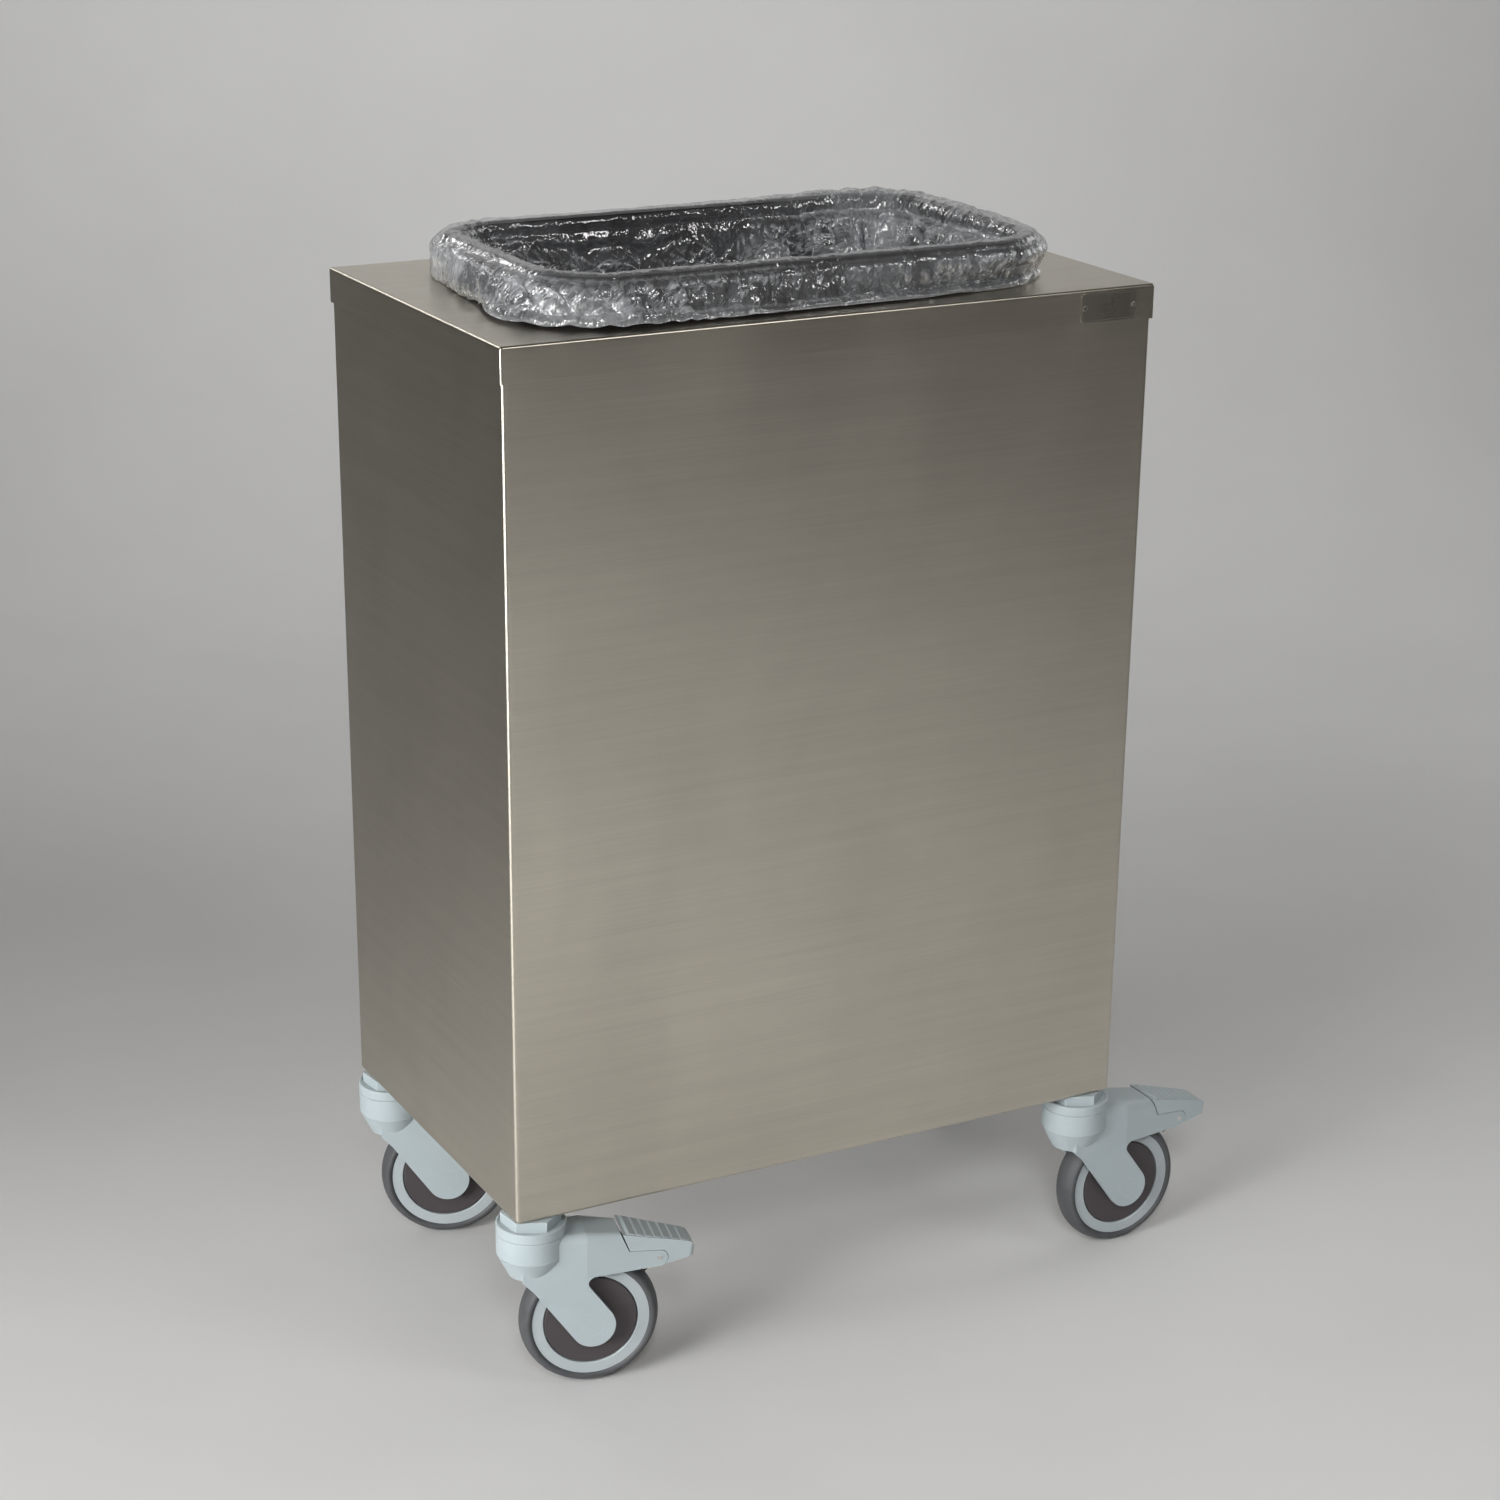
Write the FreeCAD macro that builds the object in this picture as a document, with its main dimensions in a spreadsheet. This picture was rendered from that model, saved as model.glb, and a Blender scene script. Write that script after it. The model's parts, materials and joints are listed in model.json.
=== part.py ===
import FreeCAD, Part
import math
import os
import Sketcher
from FreeCAD import Placement, Rotation, Vector

# Mobile waste bin: a folded stainless cabinet on four swivel casters, with a lift-off lid, a tapered
# container that stands inside and passes through the lid, and a thin bag turned over its rim.
# Millimetres. Origin on the floor below the cabinet's centre: +X along the front to the right,
# +Y to the back, +Z up. Each caster is drawn with its swivel axis as Z and the wheel trailing along +X.

doc = FreeCAD.newDocument("waste_bin")

# ---------------------------------------------------------------- driving dimensions

DIMENSIONS = {
    "cabinet": {
        "cabinet_width": 610, "cabinet_depth": 365, "cabinet_floor": 170, "lid_top": 934,
        "sheet_gauge": 1.2, "bend_radius": 4, "bottom_flange": 34, "weld_gap": 3.2,
        "back_flange": 26, "panel_lap": 20, "lid_gap": 0.3, "lid_clearance": 0.6, "lid_skirt": 30,
        "lid_bend": 2.6, "opening_width": 458, "opening_depth": 266, "opening_corner": 50,
        "opening_hem": 12, "opening_round": 1, "pan_top": 207, "bolster_width": 84,
        "bolster_gauge": 4,
    },
    "nameplate": {
        "plate_width": 58, "plate_height": 25, "plate_gauge": 1, "plate_corner": 4, "plate_drop": 3.3,
        "plate_centre": 260, "plate_border": 1.6, "plate_recess": 0.35, "rivet_head": 2.2,
        "rivet_inset": 4.2, "rivet_dome": 0.9, "rivet_body": 1.5,
    },
    "container": {
        "rim_width": 482, "rim_depth": 289, "rim_corner": 68, "rim_top": 971, "rim_height": 21,
        "rim_round": 6, "wall_width": 450, "wall_depth": 257, "wall_corner": 52, "foot_width": 418,
        "foot_depth": 226, "foot_corner": 38, "container_wall": 2.8, "rim_wall": 2.6,
    },
    "bag": {
        "film": 0.8, "film_gap": 0.7, "cuff_width": 492, "cuff_depth": 299, "cuff_corner": 72,
        "cuff_bottom": 937,
    },
    "caster": {
        "swivel_x": 282.3, "swivel_y": 161.1, "trail": 50, "wheel_radius": 62.5, "housing_radius": 31,
        "housing_top": 152.2, "housing_seam": 132, "cone_radius": 21, "cone_bottom": 110,
        "head_bottom": 152.8, "head_shoulder": 161.4, "head_inset": 2.2, "head_hex": 27,
        "head_turn": -23, "stem_radius": 8, "thread_radius": 6, "stem_bottom": 134, "stem_top": 194,
        "stem_flange": 11.5, "flange_gauge": 5, "nut_radius": 11, "nut_height": 10,
        "washer_radius": 12, "washer_gauge": 2.5, "bearing_radius": 19, "running_gap": 0.05,
        "fork_width": 47, "leg_radius": 20, "leg_angle": 54.7, "well_radius": 66.3, "well_width": 37,
        "arm_top": 151.6, "arm_bottom": 110.4, "taper_start": 45, "taper_end": 150, "tip_width": 25.4,
        "shoulder_round": 8, "notch_round": 6, "heel_x": -12, "knee_z": 101.3, "step_start": 76,
        "step_end": 83, "step_rise": 3.4, "nose_low": 86, "nose_tip": 97, "nose_lift": 5,
        "nose_high": 93, "nose_side": 129, "nose_top": 144.5, "boss_ring": 9.6, "boss_line": 0.6,
        "groove": 0.5, "cap_edge": 0.8, "stem_slack": 0.2,
        "axle_radius": 4, "axle_length": 43, "spacer_radius": 6.5,
    },
    "wheel": {
        "ring_outer": 52.5, "ring_inner": 42.6, "ring_width": 23, "web_width": 8, "hub_radius": 16,
        "hub_width": 28, "wheel_bearing": 11, "bearing_width": 7, "tread_width": 29,
        "tread_crown": 19.4, "tread_round": 3, "cover_outer": 41.6, "cover_width": 22,
        "cover_gauge": 1.8,
    },
    "brake": {
        "pin_x": 111, "pin_z": 119, "pin_radius": 2.5, "pin_length": 33.6, "ear_radius": 7.6,
        "ear_slot": 24.6, "slot_start": 87, "slot_end": 130, "pedal_gap": 0.6, "pedal_start": 77.4,
        "pedal_top": 147.4, "pedal_stop": 137, "pedal_end": 131.6, "pedal_chin": 141,
        "pedal_tip": 143.6, "tip_round": 5, "ramp_foot": 84, "ramp_rise": 3.2, "core_start": 92,
        "core_width": 23.4, "core_reach": 12, "rib_start": 81, "rib_height": 1.1, "rib_inset": 1.8,
        "shoe_gap": 1.7, "shoe_depth": 12, "shoe_width": 18,
    },
    "rest_yaw": {
        "yaw_front_left": -13.9, "yaw_front_right": 0.5, "yaw_rear_left": -19.2, "yaw_rear_right": 8,
    },
}

sheet = doc.addObject("Spreadsheet::Sheet", "Sizes")
row = 1
for group, cells in DIMENSIONS.items():
    sheet.set(f"A{row}", group)
    row += 1
    for alias, number in cells.items():
        sheet.set(f"A{row}", alias)
        sheet.set(f"B{row}", str(number))
        sheet.setAlias(f"B{row}", alias)
        row += 1
doc.recompute()

NAMES = sorted((alias for cells in DIMENSIONS.values() for alias in cells), key=len, reverse=True)


# ---------------------------------------------------------------- small helpers

def bound(text):
    """Turn 'lid_top - sheet_gauge' into an expression on the sheet's cells."""
    words = str(text).replace("(", "( ").replace(")", " )").split()
    return " ".join("Sizes." + word if word in NAMES else word for word in words)


def value(text):
    """The number an expression has now."""
    return float(sheet.evalExpression(bound(text)))


def bind(item, **sizes):
    for field, text in sizes.items():
        item.setExpression(field, bound(text))


def origin_plane(body, role):
    return next(item for item in body.Origin.OriginFeatures if item.Role == role)


def new_body(label):
    body = doc.addObject("PartDesign::Body", label)
    body.Label = label
    return body


def new_sketch(body, name, plane, offset="0"):
    sketch = body.newObject("Sketcher::SketchObject", name)
    sketch.AttachmentSupport = [(origin_plane(body, plane), "")]
    sketch.MapMode = "FlatFace"
    sketch.setExpression("AttachmentOffset.Base.z", bound(offset))
    return sketch


def hold_point(sketch, geometry, point, corner):
    """Tie one point of a sketch to its coordinates, given as expressions."""
    for direction, text in zip(("DistanceX", "DistanceY"), corner):
        rule = Sketcher.Constraint(direction, -1, 1, geometry, point, value(text))
        index = sketch.addConstraint(rule)
        sketch.setExpression(f"Constraints[{index}]", bound(text))


def outline(body, name, plane, corners, offset="0"):
    """Closed sketch with straight sides through the corners."""
    sketch = new_sketch(body, name, plane, offset)
    points = [Vector(value(across), value(up), 0) for across, up in corners]
    first = sketch.GeometryCount
    count = len(points)
    for index, point in enumerate(points):
        sketch.addGeometry(Part.LineSegment(point, points[(index + 1) % count]), False)
    for index in range(count):
        after = first + (index + 1) % count
        sketch.addConstraint(Sketcher.Constraint("Coincident", first + index, 2, after, 1))
    for index, corner in enumerate(corners):
        hold_point(sketch, first + index, 1, corner)
    return sketch


def add_circle(sketch, centre, radius):
    place = Vector(value(centre[0]), value(centre[1]), 0)
    index = sketch.addGeometry(Part.Circle(place, Vector(0, 0, 1), value(radius)), False)
    rule = sketch.addConstraint(Sketcher.Constraint("Radius", index, value(radius)))
    sketch.setExpression(f"Constraints[{rule}]", bound(radius))
    hold_point(sketch, index, 3, centre)


def circles(body, name, plane, centre, radii, offset="0"):
    sketch = new_sketch(body, name, plane, offset)
    for radius in radii:
        add_circle(sketch, centre, radius)
    return sketch


def rounded_rectangle(body, name, width, depth, corner, offset, plane="XY_Plane"):
    """Rectangle with round corners, centred on the body's origin."""
    sketch = new_sketch(body, name, plane, offset)
    half_x, half_y, radius = f"( {width} ) / 2", f"( {depth} ) / 2", f"( {corner} )"
    near_x, near_y = f"{half_x} - {radius}", f"{half_y} - {radius}"
    quarters = [(1, 1), (-1, 1), (-1, -1), (1, -1)]
    signed = {1: "", -1: "-1 * "}
    ends = []
    for turn, (sign_x, sign_y) in enumerate(quarters):
        centre = (f"{signed[sign_x]}( {near_x} )", f"{signed[sign_y]}( {near_y} )")
        middle = Vector(value(centre[0]), value(centre[1]), 0)
        start = turn * math.pi / 2
        circle = Part.Circle(middle, Vector(0, 0, 1), value(radius))
        index = sketch.addGeometry(Part.ArcOfCircle(circle, start, start + math.pi / 2), False)
        rule = sketch.addConstraint(Sketcher.Constraint("Radius", index, value(radius)))
        sketch.setExpression(f"Constraints[{rule}]", bound(radius))
        hold_point(sketch, index, 3, centre)
        ends.append(index)
    for turn, index in enumerate(ends):
        after = ends[(turn + 1) % 4]
        start = sketch.getPoint(index, 2)
        finish = sketch.getPoint(after, 1)
        side = sketch.addGeometry(Part.LineSegment(start, finish), False)
        sketch.addConstraint(Sketcher.Constraint("Tangent", index, 2, side, 1))
        sketch.addConstraint(Sketcher.Constraint("Tangent", side, 2, after, 1))
    return sketch


def extrude(body, name, sketch, length, cut=False, both_ways=False, reverse=False):
    kind = "PartDesign::Pocket" if cut else "PartDesign::Pad"
    before = body.Tip.Shape.Volume if body.Tip and cut else 0
    feature = body.newObject(kind, name)
    feature.Profile = sketch
    bind(feature, Length=length)
    if both_ways:
        feature.SideType = "Symmetric"
    feature.Reversed = reverse
    doc.recompute()
    if cut and feature.Shape.Volume > before - 1e-3:
        raise RuntimeError(f"{body.Label}: {name} cuts nothing")
    return feature


def revolve(body, name, sketch, axis="V_Axis"):
    feature = body.newObject("PartDesign::Revolution", name)
    feature.Profile = sketch
    feature.ReferenceAxis = (sketch, [axis])
    feature.Angle = 360
    doc.recompute()
    return feature


def loft(body, name, sketches, cut=False):
    kind = "PartDesign::SubtractiveLoft" if cut else "PartDesign::AdditiveLoft"
    feature = body.newObject(kind, name)
    feature.Profile = sketches[0]
    feature.Sections = sketches[1:]
    feature.Ruled = True
    doc.recompute()
    return feature


def round_edges(body, name, radius, wanted):
    """Fillet the edges for which wanted(edge) is true."""
    base = body.Tip
    edges = [f"Edge{index + 1}" for index, edge in enumerate(base.Shape.Edges) if wanted(edge)]
    feature = body.newObject("PartDesign::Fillet", name)
    feature.Base = (base, edges)
    bind(feature, Radius=radius)
    doc.recompute()
    return feature


def shell(body, name, gauge, wanted):
    """Hollow the body inwards to a sheet, open at the faces for which wanted(face) is true."""
    base = body.Tip
    faces = [f"Face{index + 1}" for index, face in enumerate(base.Shape.Faces) if wanted(face)]
    feature = body.newObject("PartDesign::Thickness", name)
    feature.Base = (base, faces)
    bind(feature, Value=gauge)
    feature.Reversed = True
    doc.recompute()
    return feature


def is_vertical(edge):
    box = edge.BoundBox
    return box.ZLength > 1 and box.XLength < 0.01 and box.YLength < 0.01


def lies_at(shape, level):
    box = shape.BoundBox
    return box.ZLength < 0.01 and abs(box.ZMin - value(level)) < 0.01


def box_pad(body, name, width, depth, bottom, height):
    half_x, half_y = f"( {width} ) / 2", f"( {depth} ) / 2"
    corners = [(f"-1 * {half_x}", f"-1 * {half_y}"), (half_x, f"-1 * {half_y}"),
               (half_x, half_y), (f"-1 * {half_x}", half_y)]
    return extrude(body, name, outline(body, name + "_plan", "XY_Plane", corners, bottom), height)


def place(item, across="0", back="0", up="0", yaw=None):
    """Put a sub-part at its place; the turn is about Z."""
    item.Placement = Placement(Vector(value(across), value(back), value(up)), Rotation(Vector(0, 0, 1), 1))
    bind(item, **{"Placement.Base.x": across, "Placement.Base.y": back, "Placement.Base.z": up})
    item.setExpression("Placement.Rotation.Angle", bound(yaw or "0"))


sub_parts = []


def finish(item, **where):
    """Place a sub-part and note it for the files."""
    place(item, **where)
    sub_parts.append(item)


# ---------------------------------------------------------------- cabinet

BODY_TOP = "lid_top - sheet_gauge - lid_gap"
SWIVELS = [(side + "swivel_x", end + "swivel_y") for side in ("", "-1 * ") for end in ("", "-1 * ")]


def four_circles(body, name, radius, offset):
    """A sketch with one circle on the swivel axis of each caster."""
    sketch = new_sketch(body, name, "XY_Plane", offset)
    for centre in SWIVELS:
        add_circle(sketch, centre, radius)
    return sketch


def cut_window(body, name, plane, across, up, offset, depth):
    """Rectangular window; across and up are (low, high) pairs of expressions."""
    corners = [(across[0], up[0]), (across[1], up[0]), (across[1], up[1]), (across[0], up[1])]
    return extrude(body, name, outline(body, name + "_edge", plane, corners, offset), depth,
                   cut=True, both_ways=True)


def cut_stem_holes(body, level, radius):
    """Four holes, one over each caster."""
    holes = four_circles(body, "stem_holes_plan", radius, level)
    extrude(body, "stem_holes", holes, "bottom_flange", cut=True, both_ways=True)


def make_cabinet_wrap():
    """Front, sides and folded-in edges, all one sheet, open at the top and the back."""
    body = new_body("cabinet_wrap")
    box_pad(body, "block", "cabinet_width", "cabinet_depth", "cabinet_floor", f"{BODY_TOP} - cabinet_floor")
    round_edges(body, "bends", "bend_radius",
                lambda edge: is_vertical(edge) or lies_at(edge, "cabinet_floor"))
    shell(body, "sheet", "sheet_gauge", lambda face: lies_at(face, BODY_TOP))
    half_x, half_y = "cabinet_width / 2 - bottom_flange", "cabinet_depth / 2 - bottom_flange"
    cut_window(body, "bottom_window", "XY_Plane", ("bottom_flange - cabinet_width / 2", half_x),
               ("bottom_flange - cabinet_depth / 2", half_y), "cabinet_floor", "4 * sheet_gauge")
    side = "cabinet_width / 2 - back_flange"
    cut_window(body, "back_window", "XZ_Plane", ("back_flange - cabinet_width / 2", side),
               ("cabinet_floor + bottom_flange", "lid_top"), "-1 * cabinet_depth / 2", "4 * sheet_gauge")
    cut_stem_holes(body, "cabinet_floor", "stem_radius + stem_slack")
    finish(body)


def make_back_panel():
    body = new_body("back_panel")
    side = "cabinet_width / 2 - back_flange + panel_lap"
    low = "cabinet_floor + 2 * bend_radius"
    corners = [(f"-1 * ( {side} )", low), (side, low),
               (side, BODY_TOP), (f"-1 * ( {side} )", BODY_TOP)]
    sketch = outline(body, "panel_edge", "XZ_Plane", corners, "sheet_gauge - cabinet_depth / 2")
    extrude(body, "panel", sketch, "sheet_gauge")
    finish(body)


def make_base_pan():
    """Raised floor that the container stands on: a shallow pan, folded down all round."""
    body = new_body("base_pan")
    bottom = "cabinet_floor + sheet_gauge + bolster_gauge"
    box_pad(body, "block", "cabinet_width - 3 * sheet_gauge", "cabinet_depth - 5 * sheet_gauge", bottom,
            f"pan_top - ( {bottom} )")
    round_edges(body, "bends", "bend_radius", lambda edge: is_vertical(edge) or lies_at(edge, "pan_top"))
    shell(body, "sheet", "sheet_gauge", lambda face: lies_at(face, bottom))
    finish(body)


def make_bolster(label, side):
    """Strip that carries two casters, across the cabinet's floor at one end."""
    body = new_body(label)
    outer = "cabinet_width / 2 - sheet_gauge - weld_gap"
    ends = (f"{side} * ( {outer} - bolster_width )", f"{side} * ( {outer} )")
    half_y = "cabinet_depth / 2 - sheet_gauge - weld_gap"
    corners = [(ends[0], f"-1 * ( {half_y} )"), (ends[1], f"-1 * ( {half_y} )"), (ends[1], half_y),
               (ends[0], half_y)]
    bottom = "cabinet_floor + sheet_gauge"
    extrude(body, "strip", outline(body, "strip_plan", "XY_Plane", corners, bottom), "bolster_gauge")
    sketch = new_sketch(body, "stem_holes_plan", "XY_Plane", bottom)
    for end in ("", "-1 * "):
        add_circle(sketch, (f"{side} * swivel_x", end + "swivel_y"), "stem_radius + stem_slack")
    extrude(body, "stem_holes", sketch, "4 * bolster_gauge", cut=True, both_ways=True)
    finish(body)


LID_WIDTH = "cabinet_width + 2 * ( lid_clearance + sheet_gauge )"
LID_DEPTH = "cabinet_depth + 2 * ( lid_clearance + sheet_gauge )"
PLATE_MIDDLE = "lid_top - plate_drop - plate_height / 2"


def make_lid():
    """Folded lid whose skirt goes over the cabinet, with a hemmed opening for the container."""
    body = new_body("lid")
    box_pad(body, "block", LID_WIDTH, LID_DEPTH, "lid_top - lid_skirt", "lid_skirt")
    round_edges(body, "bends", "lid_bend", lambda edge: is_vertical(edge) or lies_at(edge, "lid_top"))
    shell(body, "sheet", "sheet_gauge", lambda face: lies_at(face, "lid_top - lid_skirt"))
    hem = rounded_rectangle(body, "hem_plan", "opening_width + 2 * sheet_gauge",
                            "opening_depth + 2 * sheet_gauge", "opening_corner + sheet_gauge",
                            "lid_top - opening_hem")
    extrude(body, "hem", hem, "opening_hem - sheet_gauge / 2")
    opening = rounded_rectangle(body, "opening_plan", "opening_width", "opening_depth", "opening_corner",
                                "lid_top")
    extrude(body, "opening", opening, "lid_skirt", cut=True)
    half_x = value("opening_width / 2") + 0.1
    half_y = value("opening_depth / 2") + 0.1
    round_edges(body, "opening_edge", "opening_round",
                lambda edge: lies_at(edge, "lid_top") and edge.BoundBox.XMax < half_x
                and edge.BoundBox.XMin > -half_x and abs(edge.BoundBox.YMax) < half_y)
    rivets = rivet_circles(body, "rivet_holes_edge", "rivet_body", f"( {LID_DEPTH} ) / 2", "plate_centre",
                           PLATE_MIDDLE)
    extrude(body, "rivet_holes", rivets, "4 * sheet_gauge", cut=True, both_ways=True)
    finish(body)


def rivet_circles(body, name, radius, offset, across, up):
    """Two circles, one at each end of the nameplate."""
    sketch = new_sketch(body, name, "XZ_Plane", offset)
    for side in ("+", "-"):
        add_circle(sketch, (f"{across} {side} ( plate_width / 2 - rivet_inset )", up), radius)
    return sketch


def make_nameplate():
    """Plain plate with a raised border, riveted to the lid's skirt near the right-hand corner."""
    body = new_body("nameplate")
    blank = rounded_rectangle(body, "blank_edge", "plate_width", "plate_height", "plate_corner", "0",
                              plane="XZ_Plane")
    extrude(body, "blank", blank, "plate_gauge")
    field = rounded_rectangle(body, "field_edge", "plate_width - 2 * plate_border",
                              "plate_height - 2 * plate_border", "plate_corner - plate_border",
                              "plate_gauge", plane="XZ_Plane")
    extrude(body, "field", field, "plate_recess", cut=True)
    extrude(body, "rivet_holes", rivet_circles(body, "rivet_holes_edge", "rivet_body", "0", "0", "0"),
            "4 * plate_gauge", cut=True, both_ways=True)
    finish(body, across="plate_centre", back=f"-1 * ( {LID_DEPTH} ) / 2",
           up=PLATE_MIDDLE)


def make_plate_rivets():
    body = new_body("nameplate_rivets")
    for name, radius, start, length in (
            ("heads", "rivet_head", "plate_gauge - plate_recess", "rivet_dome"),
            ("shanks", "rivet_body", "-1 * sheet_gauge", "sheet_gauge + plate_gauge")):
        extrude(body, name, rivet_circles(body, name + "_edge", radius, start, "0", "0"), length)
    finish(body, across="plate_centre", back=f"-1 * ( {LID_DEPTH} ) / 2",
           up=PLATE_MIDDLE)


# ---------------------------------------------------------------- container and bag

RIM_BOTTOM = "rim_top - rim_height"


def make_container():
    """Tapered moulded container with a hollow rolled rim."""
    body = new_body("container")
    foot = rounded_rectangle(body, "foot_plan", "foot_width", "foot_depth", "foot_corner", "pan_top")
    neck = rounded_rectangle(body, "neck_plan", "wall_width", "wall_depth", "wall_corner", RIM_BOTTOM)
    loft(body, "walls", [foot, neck])
    rim = rounded_rectangle(body, "rim_plan", "rim_width", "rim_depth", "rim_corner", RIM_BOTTOM)
    extrude(body, "rim", rim, "rim_height")
    round_edges(body, "rim_roll", "rim_round", lambda edge: lies_at(edge, "rim_top"))
    floor = "pan_top + container_wall"
    inner_foot = rounded_rectangle(body, "inner_foot_plan", "foot_width - 2 * container_wall",
                                   "foot_depth - 2 * container_wall", "foot_corner - container_wall", floor)
    inner_neck = rounded_rectangle(body, "inner_neck_plan", "wall_width - 2 * container_wall",
                                   "wall_depth - 2 * container_wall", "wall_corner - container_wall",
                                   "rim_top + 1")
    loft(body, "inside", [inner_foot, inner_neck], cut=True)
    lip = rounded_rectangle(body, "lip_plan", "rim_width - 2 * rim_wall", "rim_depth - 2 * rim_wall",
                            "rim_corner - rim_wall", RIM_BOTTOM)
    extrude(body, "rim_hollow", lip, "rim_height - rim_wall - rim_round / 2", cut=True, reverse=True)
    wall = rounded_rectangle(body, "wall_plan", "wall_width", "wall_depth", "wall_corner", RIM_BOTTOM)
    extrude(body, "neck_wall", wall, "rim_height - rim_wall")
    mouth = rounded_rectangle(body, "mouth_plan", "wall_width - 2 * container_wall",
                              "wall_depth - 2 * container_wall", "wall_corner - container_wall", RIM_BOTTOM)
    extrude(body, "mouth", mouth, "rim_height", cut=True, reverse=True)
    finish(body)


def make_bag_liner():
    """Thin bag that lines the container and turns over its rim as a loose cuff."""
    body = new_body("bag_liner")
    top = "rim_top + film_gap + film"
    cuff = rounded_rectangle(body, "cuff_plan", "cuff_width", "cuff_depth", "cuff_corner", "cuff_bottom")
    extrude(body, "cuff", cuff, f"{top} - cuff_bottom")
    round_edges(body, "cuff_roll", "rim_round", lambda edge: lies_at(edge, top))
    shell(body, "cuff_film", "film", lambda face: lies_at(face, "cuff_bottom"))
    slack = "2 * ( container_wall + film_gap )"
    floor = "pan_top + container_wall + film_gap"
    layers = (("outside", slack, "container_wall + film_gap", floor, top, False),
              ("inside", f"{slack} + 2 * film", "container_wall + film_gap + film", f"{floor} + film",
               f"{top} + 1", True))
    for name, less, corner_less, low, high, is_cut in layers:
        foot = rounded_rectangle(body, name + "_foot", f"foot_width - ( {less} )",
                                 f"foot_depth - ( {less} )", f"foot_corner - ( {corner_less} )", low)
        neck = rounded_rectangle(body, name + "_neck", f"wall_width - ( {less} )",
                                 f"wall_depth - ( {less} )", f"wall_corner - ( {corner_less} )", high)
        loft(body, name, [foot, neck], cut=is_cut)
    finish(body)


# ---------------------------------------------------------------- casters

PIN = ("pin_x", "pin_z")
AXLE = ("trail", "wheel_radius")


def make_head_cap(label, spot):
    """Fixed cap above the swivel gap, with a hexagonal boss against the cabinet's floor."""
    body = new_body(label)
    corners = [("stem_radius", "head_bottom"), ("housing_radius", "head_bottom"),
               ("housing_radius", "head_shoulder - cap_edge"),
               ("housing_radius - cap_edge", "head_shoulder"),
               ("housing_radius - head_inset", "head_shoulder"),
               ("housing_radius - head_inset - 1", "head_shoulder - cap_edge"),
               ("stem_radius", "head_shoulder - cap_edge")]
    revolve(body, "cap", outline(body, "cap_section", "XZ_Plane", corners))
    hexagon = [(f"head_hex * cos( head_turn + {60 * corner + 60} )",
                f"head_hex * sin( head_turn + {60 * corner + 60} )") for corner in range(6)]
    boss = outline(body, "boss_plan", "XY_Plane", hexagon, "head_bottom + 1")
    extrude(body, "boss", boss, "cabinet_floor - head_bottom - 1")
    round_edges(body, "boss_edges", "cap_edge",
                lambda edge: is_vertical(edge) and edge.BoundBox.XMax ** 2 + edge.BoundBox.YMax ** 2
                > (value("head_hex") - 1) ** 2)
    bore = circles(body, "bore_plan", "XY_Plane", ("0", "0"), ["stem_radius"], "cabinet_floor + 1")
    extrude(body, "bore", bore, "cabinet_floor - head_bottom + 2", cut=True)
    finish(body, **spot)


def make_stems():
    """Four stems: a flange under each swivel bearing, a plain shank and a threaded end."""
    body = new_body("caster_stems")
    steps = (("flanges", "stem_flange", "stem_bottom - flange_gauge", "flange_gauge"),
             ("shanks", "stem_radius", "stem_bottom - 1", "cabinet_floor + sheet_gauge + bolster_gauge"
                                                          " - stem_bottom + 1"),
             ("threads", "thread_radius", "cabinet_floor", "stem_top - cabinet_floor"))
    add_pegs(body, steps)
    finish(body)


def add_pegs(body, steps):
    """One stack of round steps on each caster's swivel axis."""
    for name, radius, bottom, height in steps:
        extrude(body, name, four_circles(body, name + "_plan", radius, bottom), height)


def make_stem_nuts():
    """A hexagonal nut on each stem, above its washer."""
    body = new_body("caster_nuts")
    bottom = "cabinet_floor + sheet_gauge + bolster_gauge + washer_gauge"
    for number, (across, back) in enumerate(SWIVELS, 1):
        corners = [(f"{across} + nut_radius * cos( {60 * corner} )",
                    f"{back} + nut_radius * sin( {60 * corner} )") for corner in range(6)]
        plan = outline(body, f"nut_{number}_plan", "XY_Plane", corners, bottom)
        extrude(body, f"nut_{number}", plan, "nut_height")
    cut_stem_bores(body, bottom, "nut_height + 2")
    finish(body)


def make_stem_washers():
    """A flat washer under each nut."""
    body = new_body("caster_washers")
    bottom = "cabinet_floor + sheet_gauge + bolster_gauge"
    add_pegs(body, (("discs", "washer_radius", bottom, "washer_gauge"),))
    cut_stem_bores(body, bottom, "washer_gauge + 2")
    finish(body)


def cut_stem_bores(body, bottom, height):
    """Clear the thread's way through the piece on every stem."""
    bores = four_circles(body, "bores_plan", "thread_radius", bottom)
    extrude(body, "bores", bores, height, cut=True, reverse=True)


def make_swivel_bearing(label, spot):
    """Ring that turns on the stem, inside the fork's housing."""
    body = new_body(label)
    rings = circles(body, "ring_plan", "XY_Plane", ("0", "0"),
                    ["bearing_radius", "stem_radius + running_gap"], "stem_bottom + 0.5")
    extrude(body, "ring", rings, "housing_top - stem_bottom - 0.3")
    finish(body, **spot)


def taper_sides(body, name, inset="0"):
    """Narrow the brake arm towards the pedal's tip, evenly on both sides."""
    for side, sign in (("front", "-1 * "), ("rear", "")):
        corners = [("taper_start", f"{sign}( fork_width / 2 - {inset} )"),
                   ("taper_end", f"{sign}( tip_width / 2 - {inset} )"),
                   ("taper_end", f"{sign}fork_width"), ("taper_start", f"{sign}fork_width")]
        sketch = outline(body, f"{name}_{side}_plan", "XY_Plane", corners, "arm_bottom")
        extrude(body, f"{name}_{side}", sketch, "2 * fork_width", cut=True, reverse=True)


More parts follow.
